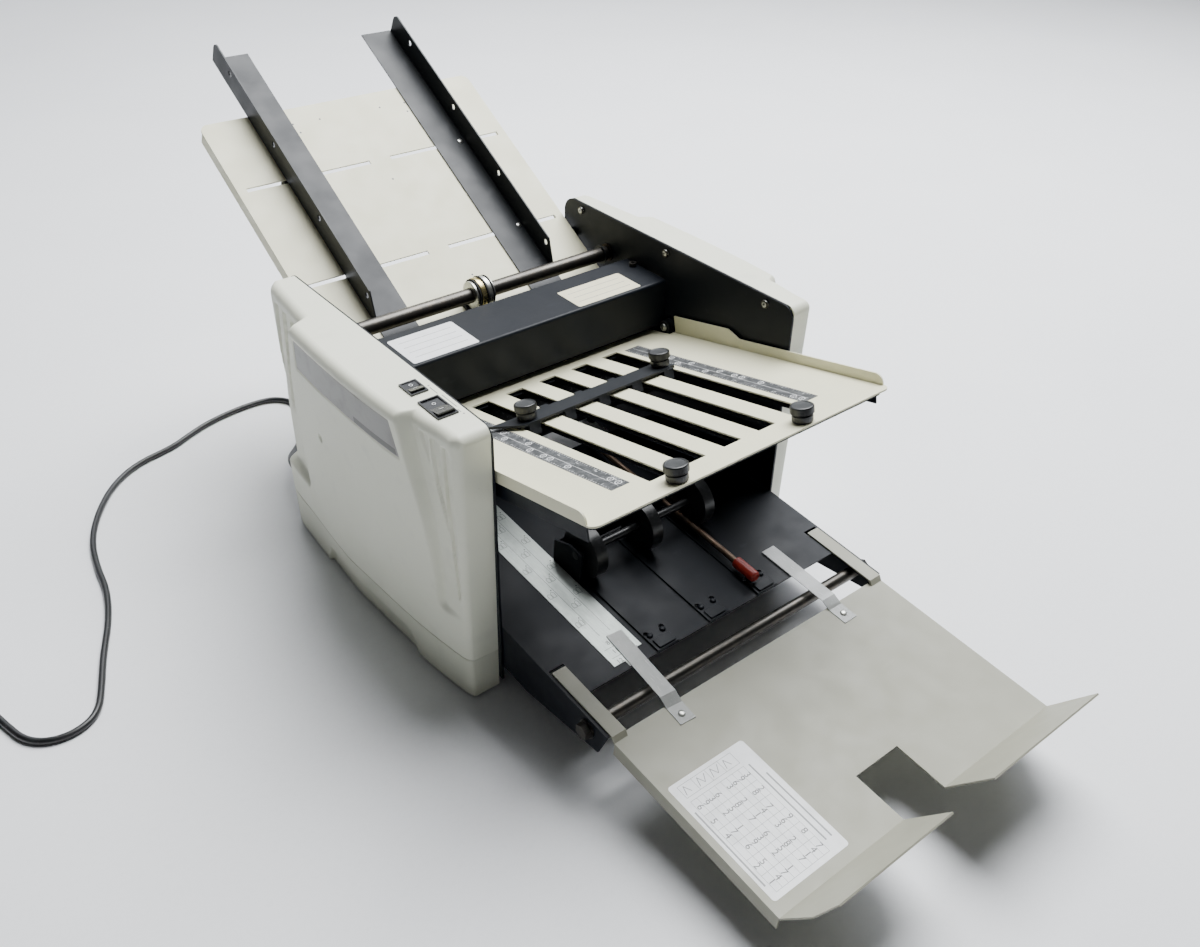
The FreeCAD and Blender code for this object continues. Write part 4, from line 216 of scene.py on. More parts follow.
def soft_vinyl(name, colour, shade, low, high):
    """Plasticised PVC, extruded or dipped: a slick skin with faint waves along it."""
    material, tree, shader = new_finish(name, IOR=1.52)
    waves = patches(tree, 12, 0.3, 0.7, 2)
    dust = patches(tree, 1.8, 0.66, 0.75, 3)
    toned(tree, shader, colour, [(waves, 0.4, shade), (dust, 0.35, "#8c8a86")])
    sheen(tree, shader, waves, low, high)
    grain(tree, shader, [(patches(tree, 4, 0.2, 0.8, 1), 0.05)])
    return material


def clear_vinyl():
    """Clear rigid PVC sheet gone milky with handling: what lies under it shows through, veiled, with fine scratches."""
    material, tree, shader = new_finish("clear rigid PVC sheet", IOR=1.53, Alpha=0.66)
    scratches = patches(tree, 1.0, 0.64, 0.72, 4, (1, 0.06, 1))
    haze = patches(tree, 15, 0.4, 0.7)
    toned(tree, shader, "#a9aba8", [(haze, 0.5, "#bbbdba"), (scratches, 0.5, "#d6d8d6")])
    sheen(tree, shader, scratches, 0.24, 0.5)
    return material


def coated_paper(name, colour, shade):
    """Vinyl-faced label stock: flat white with faint fibres and thumbed edges."""
    material, tree, shader = new_finish(name, IOR=1.46)
    fibres = patches(tree, 1.2, 0.4, 0.7, 5, (1, 0.3, 1))
    thumbed = patches(tree, 14, 0.5, 0.75, 4)
    toned(tree, shader, colour, [(fibres, 0.12, shade), (thumbed, 0.3, shade)])
    sheen(tree, shader, thumbed, 0.42, 0.6)
    grain(tree, shader, [(fibres, 0.006)])
    return material


def mottled_film():
    """Vinyl film printed dark grey: rubbed pale in blotches by sheets and thumbs, so the ground looks like slate."""
    material, tree, shader = new_finish("dark grey printed vinyl film", IOR=1.5)
    blotches = patches(tree, 4, 0.45, 0.68, 7)
    specks = patches(tree, 1.1, 0.6, 0.7, 4)
    toned(tree, shader, "#3b3d3e", [(blotches, 0.75, "#6e7071"), (specks, 0.5, "#85878a")])
    sheen(tree, shader, blotches, 0.34, 0.55)
    grain(tree, shader, [(specks, 0.008)])
    return material


def printing_ink(name, colour, shade):
    """Screen-printed ink: a thin even film, rubbed through in small specks."""
    material, tree, shader = new_finish(name, IOR=1.5)
    worn = patches(tree, 0.9, 0.60, 0.72, 4)
    toned(tree, shader, colour, [(worn, 0.6, shade)])
    sheen(tree, shader, worn, 0.4, 0.6)
    return material


def brushed_aluminium():
    """Anodised aluminium strip, brushed along its length: pale, with long fine lines and grey finger marks."""
    material, tree, shader = new_finish("brushed anodised aluminium", Metallic=0.85, Anisotropic=0.4)
    lines = patches(tree, 0.7, 0.3, 0.7, 3, (1, 0.02, 1))
    marks = patches(tree, 16, 0.5, 0.7, 6)
    toned(tree, shader, "#a4aaa6", [(lines, 0.4, "#8b918d"), (marks, 0.3, "#7c817c")])
    sheen(tree, shader, lines, 0.34, 0.5)
    grain(tree, shader, [(lines, 0.006)])
    return material


off_white_abs = moulded_abs("off-white moulded ABS", "#e4e5d3", "#dbdcc8")
base_abs = moulded_abs("off-white moulded ABS skirt", "#d9dac8", "#cccdba")
cream_coat = powder_coat("cream powder coat on sheet steel", "#e3e0c2", "#dbd8b9", "#b8b498", 0.4, 0.54)
tray_coat = powder_coat("stone grey powder coat on sheet steel", "#9a998a", "#919080", "#b4b2a0", 0.44, 0.6, 0.4)
black_coat = powder_coat("black powder coat on sheet steel", "#0a0f17", "#0e141d", "#454b55", 0.42, 0.54, 0.2)
guide_coat = powder_coat("dark grey enamel on sheet steel", "#222529", "#1b1e22", "#55585c", 0.38, 0.5, 0.3)
bar_coat = powder_coat("charcoal enamel on steel bar", "#1b1e22", "#14171a", "#5c5e62", 0.4, 0.52, 0.3)
dark_shaft = drawn_metal("oil-blacked steel shaft", "#55534f", "#403d3a", 0.32, 0.46, (0.03, 1, 1), "#625b52", 0.4)
rusty_rod = drawn_metal("rusted drawn steel rod", "#7a6a5c", "#5c4c40", 0.42, 0.66, (1, 0.03, 1), "#62493a", 0.6)
zinc_plate = drawn_metal("zinc-plated steel", "#c6c7c2", "#a3a39b", 0.26, 0.42, (1, 1, 1), "#8d8a7e", 0.25)
turned_brass = drawn_metal("turned brass", "#cfc18d", "#a5955c", 0.2, 0.36, (0.1, 1, 1), "#7d7048", 0.3)
oiled_bronze = drawn_metal("oil-filled sintered bronze", "#3c342b", "#2c2620", 0.4, 0.6, (1, 1, 1), "#241f1a", 0.4)
knob_nylon = moulded_nylon("black moulded nylon knob", "#141516", "#2c2e31", 0.3, 0.46)
# The knob tops are a lighter copy of the knob nylon: partly dust, partly a painted highlight where the tops face the
# lamps.
dusty_lit_knob_top = moulded_nylon("dusty black nylon knob top with painted highlight", "#2b2d2e", "#46484a", 0.42, 0.6)
switch_nylon = moulded_nylon("black glossy nylon switch", "#111214", "#232529", 0.2, 0.34)
acetal = moulded_nylon("natural acetal gear", "#dedacb", "#c9c4b2", 0.34, 0.46)
roller_rubber = rubber("ground black roller rubber", "#1d1e20", "#5a5a5a")
foot_rubber = rubber("moulded rubber foot", "#232324", "#6d6a66")
belt_rubber = rubber("ribbed drive belt rubber", "#18191a", "#4c4b49")
red_vinyl = soft_vinyl("dipped red vinyl cap", "#9c2a1e", "#7c1c14", 0.32, 0.46)
cord_vinyl = soft_vinyl("extruded black PVC cord", "#141516", "#1f2022", 0.34, 0.48)
clear_sheet = clear_vinyl()
motor_enamel = powder_coat("grey stoved enamel on cast motor", "#6a6d70", "#5b5e61", "#8e9092", 0.36, 0.5)
scale_metal = brushed_aluminium()
white_label = coated_paper("white vinyl label", "#ecedee", "#cfd0d0")
cream_label = coated_paper("cream vinyl label", "#e3ddbf", "#c9c2a2")
ruler_film = mottled_film()
plate_film = coated_paper("silver grey printed film", "#92918d", "#807f7b")
stripe_film = coated_paper("dark grey printed film stripe", "#5c5b58", "#6b6a66")
white_ink = printing_ink("white screen ink", "#dfe0e0", "#6a6b6c")
# The black ink serves the printing and also paints the shade in the screws' cross recesses.
black_ink_and_shade = printing_ink("black screen ink and painted recess shade", "#2a2b2d", "#6d6e70")
grey_ink = printing_ink("grey screen ink", "#6f7173", "#98999b")

NODE_FINISHES = {
    black_coat: "left_side_plate right_side_plate roller_cover exit_deck fold_table_bottom second_fold_table tie_bars "
    "stacker_carriage",
    off_white_abs: "left_cover right_cover",
    base_abs: "left_cover_base right_cover_base",
    cream_coat: "feed_table fold_table_top",
    tray_coat: "catch_tray",
    guide_coat: "left_paper_guide right_paper_guide",
    bar_coat: "stop_bar second_stop_bar stop_fingers table_bosses",
    dark_shaft: "feed_shaft rod_bolts front_rod cover_screws",
    rusty_rod: "carriage_rod",
    turned_brass: "feed_wheel_hub",
    oiled_bronze: "shaft_bearings",
    knob_nylon: "left_guide_knob right_guide_knob left_stop_knob right_stop_knob left_front_knob right_front_knob "
    "stacker_wheels strain_relief plug cord_tie",
    switch_nylon: "switch_bezels small_rocker large_rocker",
    acetal: "gear_top gear_middle gear_lower gear_exit motor_pulley",
    roller_rubber: "fold_roller_top fold_roller_middle fold_roller_lower fold_roller_exit feed_wheel_tyre "
    "separator_pad",
    foot_rubber: "rubber_feet",
    belt_rubber: "belts",
    red_vinyl: "rod_cap",
    clear_sheet: "clear_strips",
    motor_enamel: "motor",
    scale_metal: "scale_strip",
    cord_vinyl: "cord cord_coil",
}


def dress_nodes():
    for finish, names in NODE_FINISHES.items():
        for name in names.split():
            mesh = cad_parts[name].data
            mesh.materials.clear()
            mesh.materials.append(finish)


dress_nodes()


# Pieces: each is shaped in a table's own frame, in millimetres, and then set in its place.


def new_piece(name, shape, place, finishes, body, replaces=(), edge=0.0, crease=32):
    """A shape becomes a piece of the machine that rides on a body, with soft edges where asked."""
    bmesh.ops.recalc_face_normals(shape, faces=shape.faces)
    shape.transform(place)
    mesh = bpy.data.meshes.new(name)
    shape.to_mesh(mesh)
    shape.free()
    for finish in finishes:
        mesh.materials.append(finish)
    mesh.polygons.foreach_set("use_smooth", [True] * len(mesh.polygons))
    mesh.set_sharp_from_angle(angle=math.radians(crease))
    piece = bpy.data.objects.new(name, mesh)
    bpy.context.scene.collection.objects.link(piece)
    if edge:
        soft = piece.modifiers.new("soft edges", "BEVEL")
        soft.width = edge * MM
        soft.segments = 3
        soft.limit_method = "ANGLE"
        soft.angle_limit = math.radians(crease)
        soft.harden_normals = True
    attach(piece, body)
    if replaces:
        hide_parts(*replaces)
    return piece


def slab(shape, outline, low, high, finish=0, place=Matrix()):
    """A flat plate with an outline, between two heights."""
    rings = [[shape.verts.new(place @ Vector((x, y, z))) for x, y in outline] for z in (low, high)]
    faces = [shape.faces.new(rings[0][::-1]), shape.faces.new(rings[1])]
    for i in range(len(outline)):
        j = (i + 1) % len(outline)
        faces.append(shape.faces.new((rings[0][i], rings[0][j], rings[1][j], rings[1][i])))
    for face in faces:
        face.material_index = finish


def rounded(low_x, high_x, low_y, high_y, radius, steps=5):
    """The outline of a rectangle with round corners."""
    outline = []
    corners = ((high_x, high_y, 0), (low_x, high_y, 90), (low_x, low_y, 180), (high_x, low_y, 270))
    for x, y, start in corners:
        middle_x = x - math.copysign(radius, x - (low_x + high_x) / 2)
        middle_y = y - math.copysign(radius, y - (low_y + high_y) / 2)
        for i in range(steps + 1):
            angle = math.radians(start + 90 * i / steps)
            outline.append((middle_x + radius * math.cos(angle), middle_y + radius * math.sin(angle)))
    return outline


def turned(shape, profile, finish=0, place=Matrix(), steps=48, flutes=0, fluted=()):
    """A round piece from its (radius, height) profile. The fluted points are let in between a knob's grips."""
    rings = []
    for i, (radius, height) in enumerate(profile):
        if radius == 0:
            rings.append([shape.verts.new(place @ Vector((0, 0, height)))])
            continue
        ring = []
        for step in range(steps):
            angle = 2 * math.pi * step / steps
            dip = 0.35 * (0.5 - 0.5 * math.cos(angle * flutes)) if i in fluted else 0
            reach = radius - dip
            ring.append(shape.verts.new(place @ Vector((reach * math.cos(angle), reach * math.sin(angle), height))))
        rings.append(ring)
    for lower, upper in zip(rings, rings[1:]):
        for i in range(steps):
            j = (i + 1) % steps
            corners = [lower[i % len(lower)], lower[j % len(lower)], upper[j % len(upper)], upper[i % len(upper)]]
            corners = [v for k, v in enumerate(corners) if v not in corners[:k]]
            if len(corners) > 2:
                shape.faces.new(corners).material_index = finish


def print_text(shape, words, size, middle, turn, height, finish):
    """Plain numbers laid flat on a face, as a film of ink."""
    curve = bpy.data.curves.new("print", "FONT")
    curve.body = words
    curve.size = size
    curve.align_x = "CENTER"
    curve.align_y = "CENTER"
    curve.resolution_u = 3
    holder = bpy.data.objects.new("print", curve)
    bpy.context.scene.collection.objects.link(holder)
    bpy.context.view_layer.update()
    letters = bpy.data.meshes.new_from_object(holder.evaluated_get(bpy.context.evaluated_depsgraph_get()))
    place = Matrix.Translation((middle[0], middle[1], height)) @ Matrix.Rotation(math.radians(turn), 4, "Z")
    letters.transform(place)
    first = len(shape.faces)
    shape.from_mesh(letters)
    shape.faces.ensure_lookup_table()
    for face in shape.faces[first:]:
        face.material_index = finish
    bpy.data.objects.remove(holder)
    bpy.data.curves.remove(curve)
    bpy.data.meshes.remove(letters)


def line(shape, start, end, wide, low, high, finish):
    """A printed line between two points."""
    along = Vector(end) - Vector(start)
    side = Vector((-along.y, along.x)).normalized() * wide / 2
    first, last = Vector(start), Vector(end)
    slab(shape, [first - side, last - side, last + side, first + side], low, high, finish)


def ring_mark(shape, middle, radius, wide, low, high, finish):
    """A printed ring."""
    turned(
        shape,
        [(radius, low), (radius, high), (radius - wide, high), (radius - wide, low), (radius, low)],
        finish,
        Matrix.Translation((middle[0], middle[1], 0)),
        20,
    )


# The side covers: one moulded skin each, over a skirt of its own. The back of a cover is let in and fluted, a valley
# runs down in front of its bulge, and three sunk grooves lie beside the valley.

SEAM, SHOULDER, TOP_ROUND, COVER_TOP = 48.0, 278.0, 9.0, 287.0
PLATE_FACE = 170.0
LIP = 2.6
SEAM_GROOVE, GROOVE_DEEP = 1.3, 3.0
FLUTE_TOPS, FLUTE_LEAN, FLUTE_DEEP = (147, 168, 189), 0.16, 3.4
ARCH, ARCH_DEEP = [(134, -1), (118, 29), (-33, 29), (-49, -1)], 4.4
PLATE_RECESS, PLATE_HOLE_DEEP = 1.0, 2.2
FAR_COVER_DEPTH = 45 / 56
SWITCH_X = -186.6
SWITCH_SEATS = [(-43.5, 16, 21), (-81.2, 19, 31.5)]
# Outline points from the back to the front: y, and the reach beyond the side plate, at the top and at the seam.
TOP_OUTLINE = [
    (213.5, 0.0),
    (213.0, 24.0),
    (209.5, 36.0),
    (203.0, 41.5),
    (152.0, 49.5),
    (118.0, 51.4),
    (96.0, 52.2),
    (60.0, 53.5),
    (20.0, 54.0),
    (-20.0, 53.4),
    (-50.0, 51.8),
    (-66.0, 50.4),
    (-76.0, 48.8),
    (-86.0, 46.0),
    (-96.0, 42.0),
    (-106.0, 38.0),
    (-116.0, 35.0),
    (-126.0, 31.8),
    (-130.5, 24.0),
    (-130.8, 0.0),
]
SEAM_OUTLINE = [
    (217.0, 0.0),
    (217.0, 26.0),
    (214.1, 32.0),
    (204.9, 34.8),
    (152.1, 38.9),
    (119.9, 41.5),
    (90.1, 43.7),
    (66.0, 44.6),
    (30.0, 43.2),
    (-9.0, 41.5),
    (-47.9, 39.1),
    (-70.0, 37.0),
    (-88.0, 34.8),
    (-96.0, 33.7),
    (-103.0, 32.8),
    (-109.0, 31.8),
    (-113.1, 31.2),
    (-117.5, 30.2),
    (-125.0, 25.0),
    (-126.0, 0.0),
]
# How many steps each stretch of the outline is drawn in: close where it carries grooves, flutes or an edge.
OUTLINE_STEPS = [3, 5, 6, 34, 24, 20, 34, 12, 12, 10, 14, 10, 10, 10, 10, 10, 10, 6, 3]
# Lines down the cover: z and y.
BULGE_BACK = [(287, 115), (278, 118), (256, 124), (231, 132), (204, 138), (179, 141), (150, 143), (86, 145)]
RIDGE = [(287, -66), (280, -67), (245, -73), (190, -84), (131, -90), (92, -88)]
GROOVES = [
    ([(276, -83), (246, -93.5)], [(276, -95), (246, -94.5)], 2.6),
    ([(274, -97), (232, -98.5), (186, -109)], [(274, -109), (186, -110)], 0.9),
    ([(272, -111), (207, -111.5), (160, -113.5), (118, -116)], [(272, -123), (118, -120)], 0.9),
]
NAME_PLATE = [(113, 245), (109, 275.5), (-58, 276.5), (-66, 243.5)]
PLATE_HOLE = (84.7, 183.5, 4.0)


def ease(start, end, value):
    """A soft step from 0 to 1 between two values."""
    share = min(max((value - start) / (end - start), 0), 1)
    return share * share * (3 - 2 * share)


def along(points, z):
    """Where a line down the cover is at a height. Its points run from the top."""
    for (upper, first), (lower, last) in zip(points, points[1:]):
        if z >= lower:
            return first + (last - first) * min(max((upper - z) / (upper - lower), 0), 1)
    return points[-1][1]


def round_corner(one, other, radius):
    """How far inside two borders a point is, with the corner between them rounded."""
    if one < radius and other < radius:
        return radius - math.hypot(radius - one, radius - other)
    return min(one, other)


def inside(corners, y, z):
    """How far inside a four-cornered field a point is."""
    least = math.inf
    for (ay, az), (by, bz) in zip(corners, corners[1:] + corners[:1]):
        least = min(least, ((by - ay) * (z - az) - (bz - az) * (y - ay)) / math.hypot(by - ay, bz - az))
    return least


def sunk_back(y, z, reach):
    """The let-in back part with its three leaning flutes."""
    behind = y - along(BULGE_BACK, z)
    field = round_corner(behind, z - 84, 14)
    floor = 35.3 - 0.1 * (y - 128) - 0.05 * max(y - 200, 0) ** 2
    deep = ease(-1, 9, field) * max(reach - floor, 0)
    for top in FLUTE_TOPS:
        across = abs(y - top - FLUTE_LEAN * (272 - z))
        deep += FLUTE_DEEP * ease(5.4, 3.6, across) * ease(150, 168, z) * ease(274, 270, z) * ease(6, 10, behind)
    return deep


def sunk_front(y, z):
    """The valley in front of the bulge, and the three grooves beside it."""
    foot = along(RIDGE, z)
    ahead = foot - y
    field = round_corner(ahead, z - 92, 13)
    fade = 1 - min(max((ahead - 7) / (foot + 114), 0), 1)
    deep = (4.5 + 7.0 * min(max((z - 95) / 185, 0), 1)) * ease(0, 7, field) * fade
    for back, front, wall in GROOVES:
        back_y, front_y = along(back, z), along(front, z)
        if back[-1][0] - 1 < z < back[0][0] + 1 and front_y < y < back_y + 0.3:
            ends = ease(back[-1][0] - 1, back[-1][0] + 1, z) * ease(back[0][0] + 1, back[0][0] - 0.2, z)
            slant = (y - front_y) / max(back_y + 0.3 - front_y, 0.6)
            deep += GROOVE_DEEP * ends * slant * ease(back_y + 0.3, back_y + 0.3 - wall, y)
    return deep


def spread(rows):
    """A smooth line through outline points, which never swings past them."""
    slopes = []
    for i, point in enumerate(rows):
        pair = []
        for axis in (0, 1):
            before = point[axis] - rows[i - 1][axis] if i else 0
            after = rows[i + 1][axis] - point[axis] if i + 1 < len(rows) else 0
            pair.append(2 * before * after / (before + after) if before * after > 0 else 0)
        slopes.append(pair)
    points = [rows[0]]
    for i, steps in enumerate(OUTLINE_STEPS):
        for step in range(1, steps + 1):
            t = step / steps
            values = []
            for axis in (0, 1):
                start, end = rows[i][axis], rows[i + 1][axis]
                leave, arrive = slopes[i][axis], slopes[i + 1][axis]
                bend = (t**3 - 2 * t**2 + t) * leave + (t**3 - t**2) * arrive
                values.append((2 * t**3 - 3 * t**2 + 1) * start + (3 * t**2 - 2 * t**3) * end + bend)
            points.append(tuple(values))
    return points


def cover_ring(z, side, depth_share):
    """The outline of a cover's skin at a height, as (y, reach) points from back to front."""
    rise = (z - SEAM) / (COVER_TOP - SEAM)
    rows = [(a + (b - a) * rise, c + (d - c) * rise) for (a, c), (b, d) in zip(SEAM_OUTLINE, TOP_OUTLINE)]
    ring = []
    for y, reach in spread(rows):
        share = ease(0, 12, reach)
        deep = sunk_back(y, z, reach) + sunk_front(y, z)
        if side == "left":
            deep += PLATE_RECESS * ease(-0.6, 0.6, inside(NAME_PLATE, y, z) + 0.8)
            hole_y, hole_z, radius = PLATE_HOLE
            deep += PLATE_HOLE_DEEP * ease(radius + 0.4, radius - 0.8, math.hypot(y - hole_y, z - hole_z))
        deep += SEAM_GROOVE * ease(SEAM + 0.9, SEAM + 0.2, z)
        ring.append((y, max(reach * depth_share - deep * share * depth_share, 0)))
    return ring


def skirt_ring(z, depth_share):
    """The outline of a skirt at a height: a slight draft, an arch let into its face and a chamfer at the floor."""
    draft = 1.05 * (SEAM - z) / SEAM + 1.6 * ease(3.5, 1.2, z) + 0.9 * ease(SEAM - 0.7, SEAM, z)
    back, front = SEAM_OUTLINE[0][0], SEAM_OUTLINE[-1][0]
    ring = []
    for y, reach in spread(SEAM_OUTLINE):
        arch = inside(ARCH, y, z)
        deep = draft + ARCH_DEEP * ease(-0.5, 2.4, arch)
        ring.append((min(max(y, front + draft), back - draft), max(reach * depth_share - deep * ease(0, 12, reach), 0)))
    return ring


def skin(shape, rings, sign):
    """A skin over rings of outline points, with a lip turned in where it meets the side plate."""
    rows = []
    for z, ring in rings:
        lipped = [(ring[0][0] - LIP, 0)] + ring + [(ring[-1][0] + LIP, 0)]
        rows.append([shape.verts.new((sign * (PLATE_FACE + reach), y, z)) for y, reach in lipped])
    for lower, upper in zip(rows, rows[1:]):
        for i in range(len(lower) - 1):
            shape.faces.new((lower[i], lower[i + 1], upper[i + 1], upper[i]))


def flat_top(shape, ring, sign, holes):
    """The flat of a cover's top, with an opening for each switch and a lip over the side plate."""
    loops = [[(sign * (PLATE_FACE + reach), y) for y, reach in ring]] + holes
    edges = []
    for loop in loops:
        outline = []
        for x, y in loop:
            if not outline or (Vector(outline[-1].co[:2]) - Vector((x, y))).length > 0.02:
                outline.append(shape.verts.new((x, y, COVER_TOP)))
        edges += [shape.edges.new((outline[i - 1], outline[i])) for i in range(len(outline))]
    bmesh.ops.triangle_fill(shape, use_beauty=True, edges=edges)
    back, front = ring[0][0], ring[-1][0]
    lip = [shape.verts.new((sign * PLATE_FACE, y, z)) for y, z in ((back, COVER_TOP), (front, COVER_TOP))]
    lip += [shape.verts.new((sign * PLATE_FACE, y, z)) for y, z in ((front, COVER_TOP - LIP), (back, COVER_TOP - LIP))]
    shape.faces.new(lip)


def add_cover(side, sign, depth_share):
    heights = [SEAM, SEAM + 0.2, SEAM + 0.55, SEAM + 0.9] + [52 + 4.5 * i for i in range(7)]
    heights += [82 + 1.4 * i for i in range(int((SHOULDER - 82) / 1.4) + 1)] + [SHOULDER]
    rings = [(z, cover_ring(z, side, depth_share)) for z in heights]
    for step in range(1, 9):
        angle = math.radians(90 * step / 8)
        z = SHOULDER + TOP_ROUND * math.sin(angle)
        inset = TOP_ROUND * (1 - math.cos(angle))
        ring = cover_ring(z, side, depth_share)
        back, front = ring[0][0], ring[-1][0]
        rings.append((z, [(min(max(y, front + inset), back - inset), max(reach - inset, 0)) for y, reach in ring]))
    shape = bmesh.new()
    skin(shape, rings, sign)
    holes = []
    if side == "left":
        for y, wide, long in SWITCH_SEATS:
            half_wide, half_long = wide / 2 - 1, long / 2 - 1
            sides = (SWITCH_X - half_wide, SWITCH_X + half_wide, y - half_long, y + half_long)
            holes.append(rounded(*sides, 0.5, 2))
    flat_top(shape, rings[-1][1], sign, holes)
    new_piece(f"{side}_moulded_cover", shape, machine, [off_white_abs], "frame", [f"{side}_cover"], crease=50)
    skirt = bmesh.new()
    levels = [1.2, 1.8, 2.5, 3.5] + [5 + 2 * i for i in range(11)] + [26.5 + 0.8 * i for i in range(6)]
    levels += [34, 40, 45, SEAM - 0.7, SEAM - 0.35, SEAM]
    skin(skirt, [(z, skirt_ring(z, depth_share)) for z in levels], sign)
    new_piece(f"{side}_moulded_skirt", skirt, machine, [base_abs], "frame", [f"{side}_cover_base"], crease=50)


add_cover("left", -1, 1.0)
add_cover("right", 1, FAR_COVER_DEPTH)


def add_name_plate():
    """The bare printed film in the cover's recess, with a plain dark stripe along its lower front edge."""
    shape = bmesh.new()
    (back_low, back_high, front_high, front_low) = NAME_PLATE
    for finish, near, far, proud in ((0, (0.0, 0.0), (1.0, 1.0), 0.25), (1, (0.62, 0.02), (0.985, 0.2), 0.32)):
        columns, rows = 60, 10
        grid = []
        for j in range(rows + 1):
            up = near[1] + (far[1] - near[1]) * j / rows
            row = []
            for i in range(columns + 1):
                share = near[0] + (far[0] - near[0]) * i / columns
                low = Vector(back_low).lerp(Vector(front_low), share)
                high = Vector(back_high).lerp(Vector(front_high), share)
                y, z = low.lerp(high, up)
                row.append(shape.verts.new((-(PLATE_FACE + reach_at(y, z) - PLATE_RECESS + proud), y, z)))
            grid.append(row)
        for lower, upper in zip(grid, grid[1:]):
            for i in range(columns):
                shape.faces.new((lower[i], lower[i + 1], upper[i + 1], upper[i])).material_index = finish
    new_piece("left_name_plate", shape, machine, [plate_film, stripe_film], "frame")


def reach_at(y, z):
    """How far the left cover's plain face stands beyond the side plate at a point."""
    rise = (z - SEAM) / (COVER_TOP - SEAM)
    rows = [(a + (b - a) * rise, c + (d - c) * rise) for (a, c), (b, d) in zip(SEAM_OUTLINE, TOP_OUTLINE)]
    points = spread(rows)
    for (first_y, first), (last_y, last) in zip(points, points[1:]):
        if first_y >= y >= last_y and first_y > last_y:
            return first + (last - first) * (first_y - y) / (first_y - last_y)
    return 0


add_name_plate()


# The mains lead: its route follows the one in the solids, and its coil's turns are points of the same line.

LEAD_DROP = [(-180, 249.047, 32), (-180, 273, 32), (-170, 300, 25), (-152, 326, 13), (-133, 354, 5)]
LEAD_ON_FLOOR = [
    (-114, 384),
    (-102, 412),
    (-101.3, 439.8),
    (-111.1, 456.9),
    (-128.2, 466.7),
    (-165, 467),
    (-205, 459),
    (-235, 446),
    (-262, 432),
    (-306, 424),
    (-343, 399),
    (-374, 357),
    (-396, 312),
    (-406, 264),
    (-410, 222),
    (-424, 176),
    (-446, 128),
    (-458, 95),
    (-471.3, 63.5),
    (-491.3, 51.6),
    (-514.4, 53.4),
    (-532.4, 68.3),
    (-540.5, 97),
    (-546.9, 125.8),
]
LEAD_THICK = 6.5
COIL_TAIL = 28
LEAD_HEIGHT = 3.5
COIL_START = Vector((-556, 160))
COIL_FIRST_ANGLE = 15
COIL_INNER, COIL_PITCH, COIL_TURNS = 29.0, 7.0, 4
COIL_HEIGHT = 4.45
POINTS_PER_TURN = 16


def coil_points():
    """The put-away length: in on the floor for two turns, up one layer, and out again."""
    halfway = COIL_TURNS * 2
    start = math.radians(COIL_FIRST_ANGLE)
    outer = COIL_INNER + COIL_PITCH * halfway / 4
    middle = COIL_START - Vector((math.cos(start), math.sin(start))) * outer
    widen = 1 / math.cos(math.pi / POINTS_PER_TURN)
    points = []
    for i in range(COIL_TURNS * POINTS_PER_TURN + 1):
        quarter = i * 4 / POINTS_PER_TURN
        angle = start + quarter * math.pi / 2
        reach = (COIL_INNER + COIL_PITCH * abs(quarter - halfway) / 4) * widen
        climb = min(max((quarter - halfway + 1) / 2, 0), 1) * COIL_PITCH
        points.append((middle.x + reach * math.cos(angle), middle.y + reach * math.sin(angle), COIL_HEIGHT + climb))
    return points


def add_lead():
    turns = coil_points()
    heading = Vector((-math.sin(math.radians(COIL_FIRST_ANGLE)), math.cos(math.radians(COIL_FIRST_ANGLE)), 0))
    lead_in = Vector((*COIL_START, COIL_HEIGHT)) - heading * LEAD_THICK
    tail = Vector((*COIL_START, COIL_HEIGHT + COIL_PITCH)) + heading * COIL_TAIL
    points = LEAD_DROP + [(x, y, LEAD_HEIGHT) for x, y in LEAD_ON_FLOOR] + [tuple(lead_in)] + turns + [tuple(tail)]
    curve = bpy.data.curves.new("mains_lead", "CURVE")
    curve.dimensions = "3D"
    spline = curve.splines.new("NURBS")
    spline.points.add(len(points) - 1)
    for knot, point in zip(spline.points, points):
        knot.co = (*spot(*point), 1)
    spline.order_u = 3
    spline.use_endpoint_u = True
    spline.resolution_u = 8
    curve.bevel_depth = LEAD_THICK / 2 * MM
    curve.bevel_resolution = 5
    curve.use_fill_caps = True
    curve.materials.append(cord_vinyl)
    lead = bpy.data.objects.new("mains_lead", curve)
    bpy.context.scene.collection.objects.link(lead)
    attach(lead, "frame")
    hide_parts("cord", "cord_coil")


add_lead()


# Clamp knobs, with a gripped rim over a neck and a lower ring, and a dish in the top.

KNOB_PROFILE = [
    (2.4, -4.5),
    (2.4, 0.2),
    (7.9, 0.2),
    (8.8, 0.9),
    (9.1, 2.0),
    (9.2, 5.6),
    (9.0, 6.3),
    (8.2, 6.7),
    (8.0, 7.5),
    (9.6, 8.0),
    (10.2, 8.6),
    (10.3, 9.2),
    (10.3, 13.6),
    (10.0, 14.4),
    (9.4, 14.9),
    (8.4, 15.0),
]
KNOB_TOP = [(8.4, 15.0), (7.9, 14.8), (7.6, 14.4), (3.0, 14.2), (0, 14.2)]
KNOBS = [
    ("left_stop_knob", fold_table, -79, -88.3, 5.0, "left_stop_clamp"),
    ("right_stop_knob", fold_table, 79, -88.3, 5.0, "right_stop_clamp"),
    ("left_front_knob", fold_table, -74.5, -285.8, 0.0, "left_front_clamp"),
    ("right_front_knob", fold_table, 65, -285.8, 0.0, "right_front_clamp"),
]


def add_knobs():
    for name, place, x, y, lift, body in KNOBS:
        shape = bmesh.new()
        profile = [(0, KNOB_PROFILE[0][1])] + KNOB_PROFILE
        middle = Matrix.Translation((x, y, lift))
        turned(shape, profile, 0, middle, 96, 32, (4, 5, 6, 12, 13))
        # The dished top takes the lighter nylon: dust and a painted highlight.
        turned(shape, KNOB_TOP, 1, middle, 96)
        new_piece(f"gripped_{name}", shape, place, [knob_nylon, dusty_lit_knob_top], body, [name], crease=40)


add_knobs()


# The feed wheel: brass rings and a steel flange on the shaft, with rubber rings let in between them.

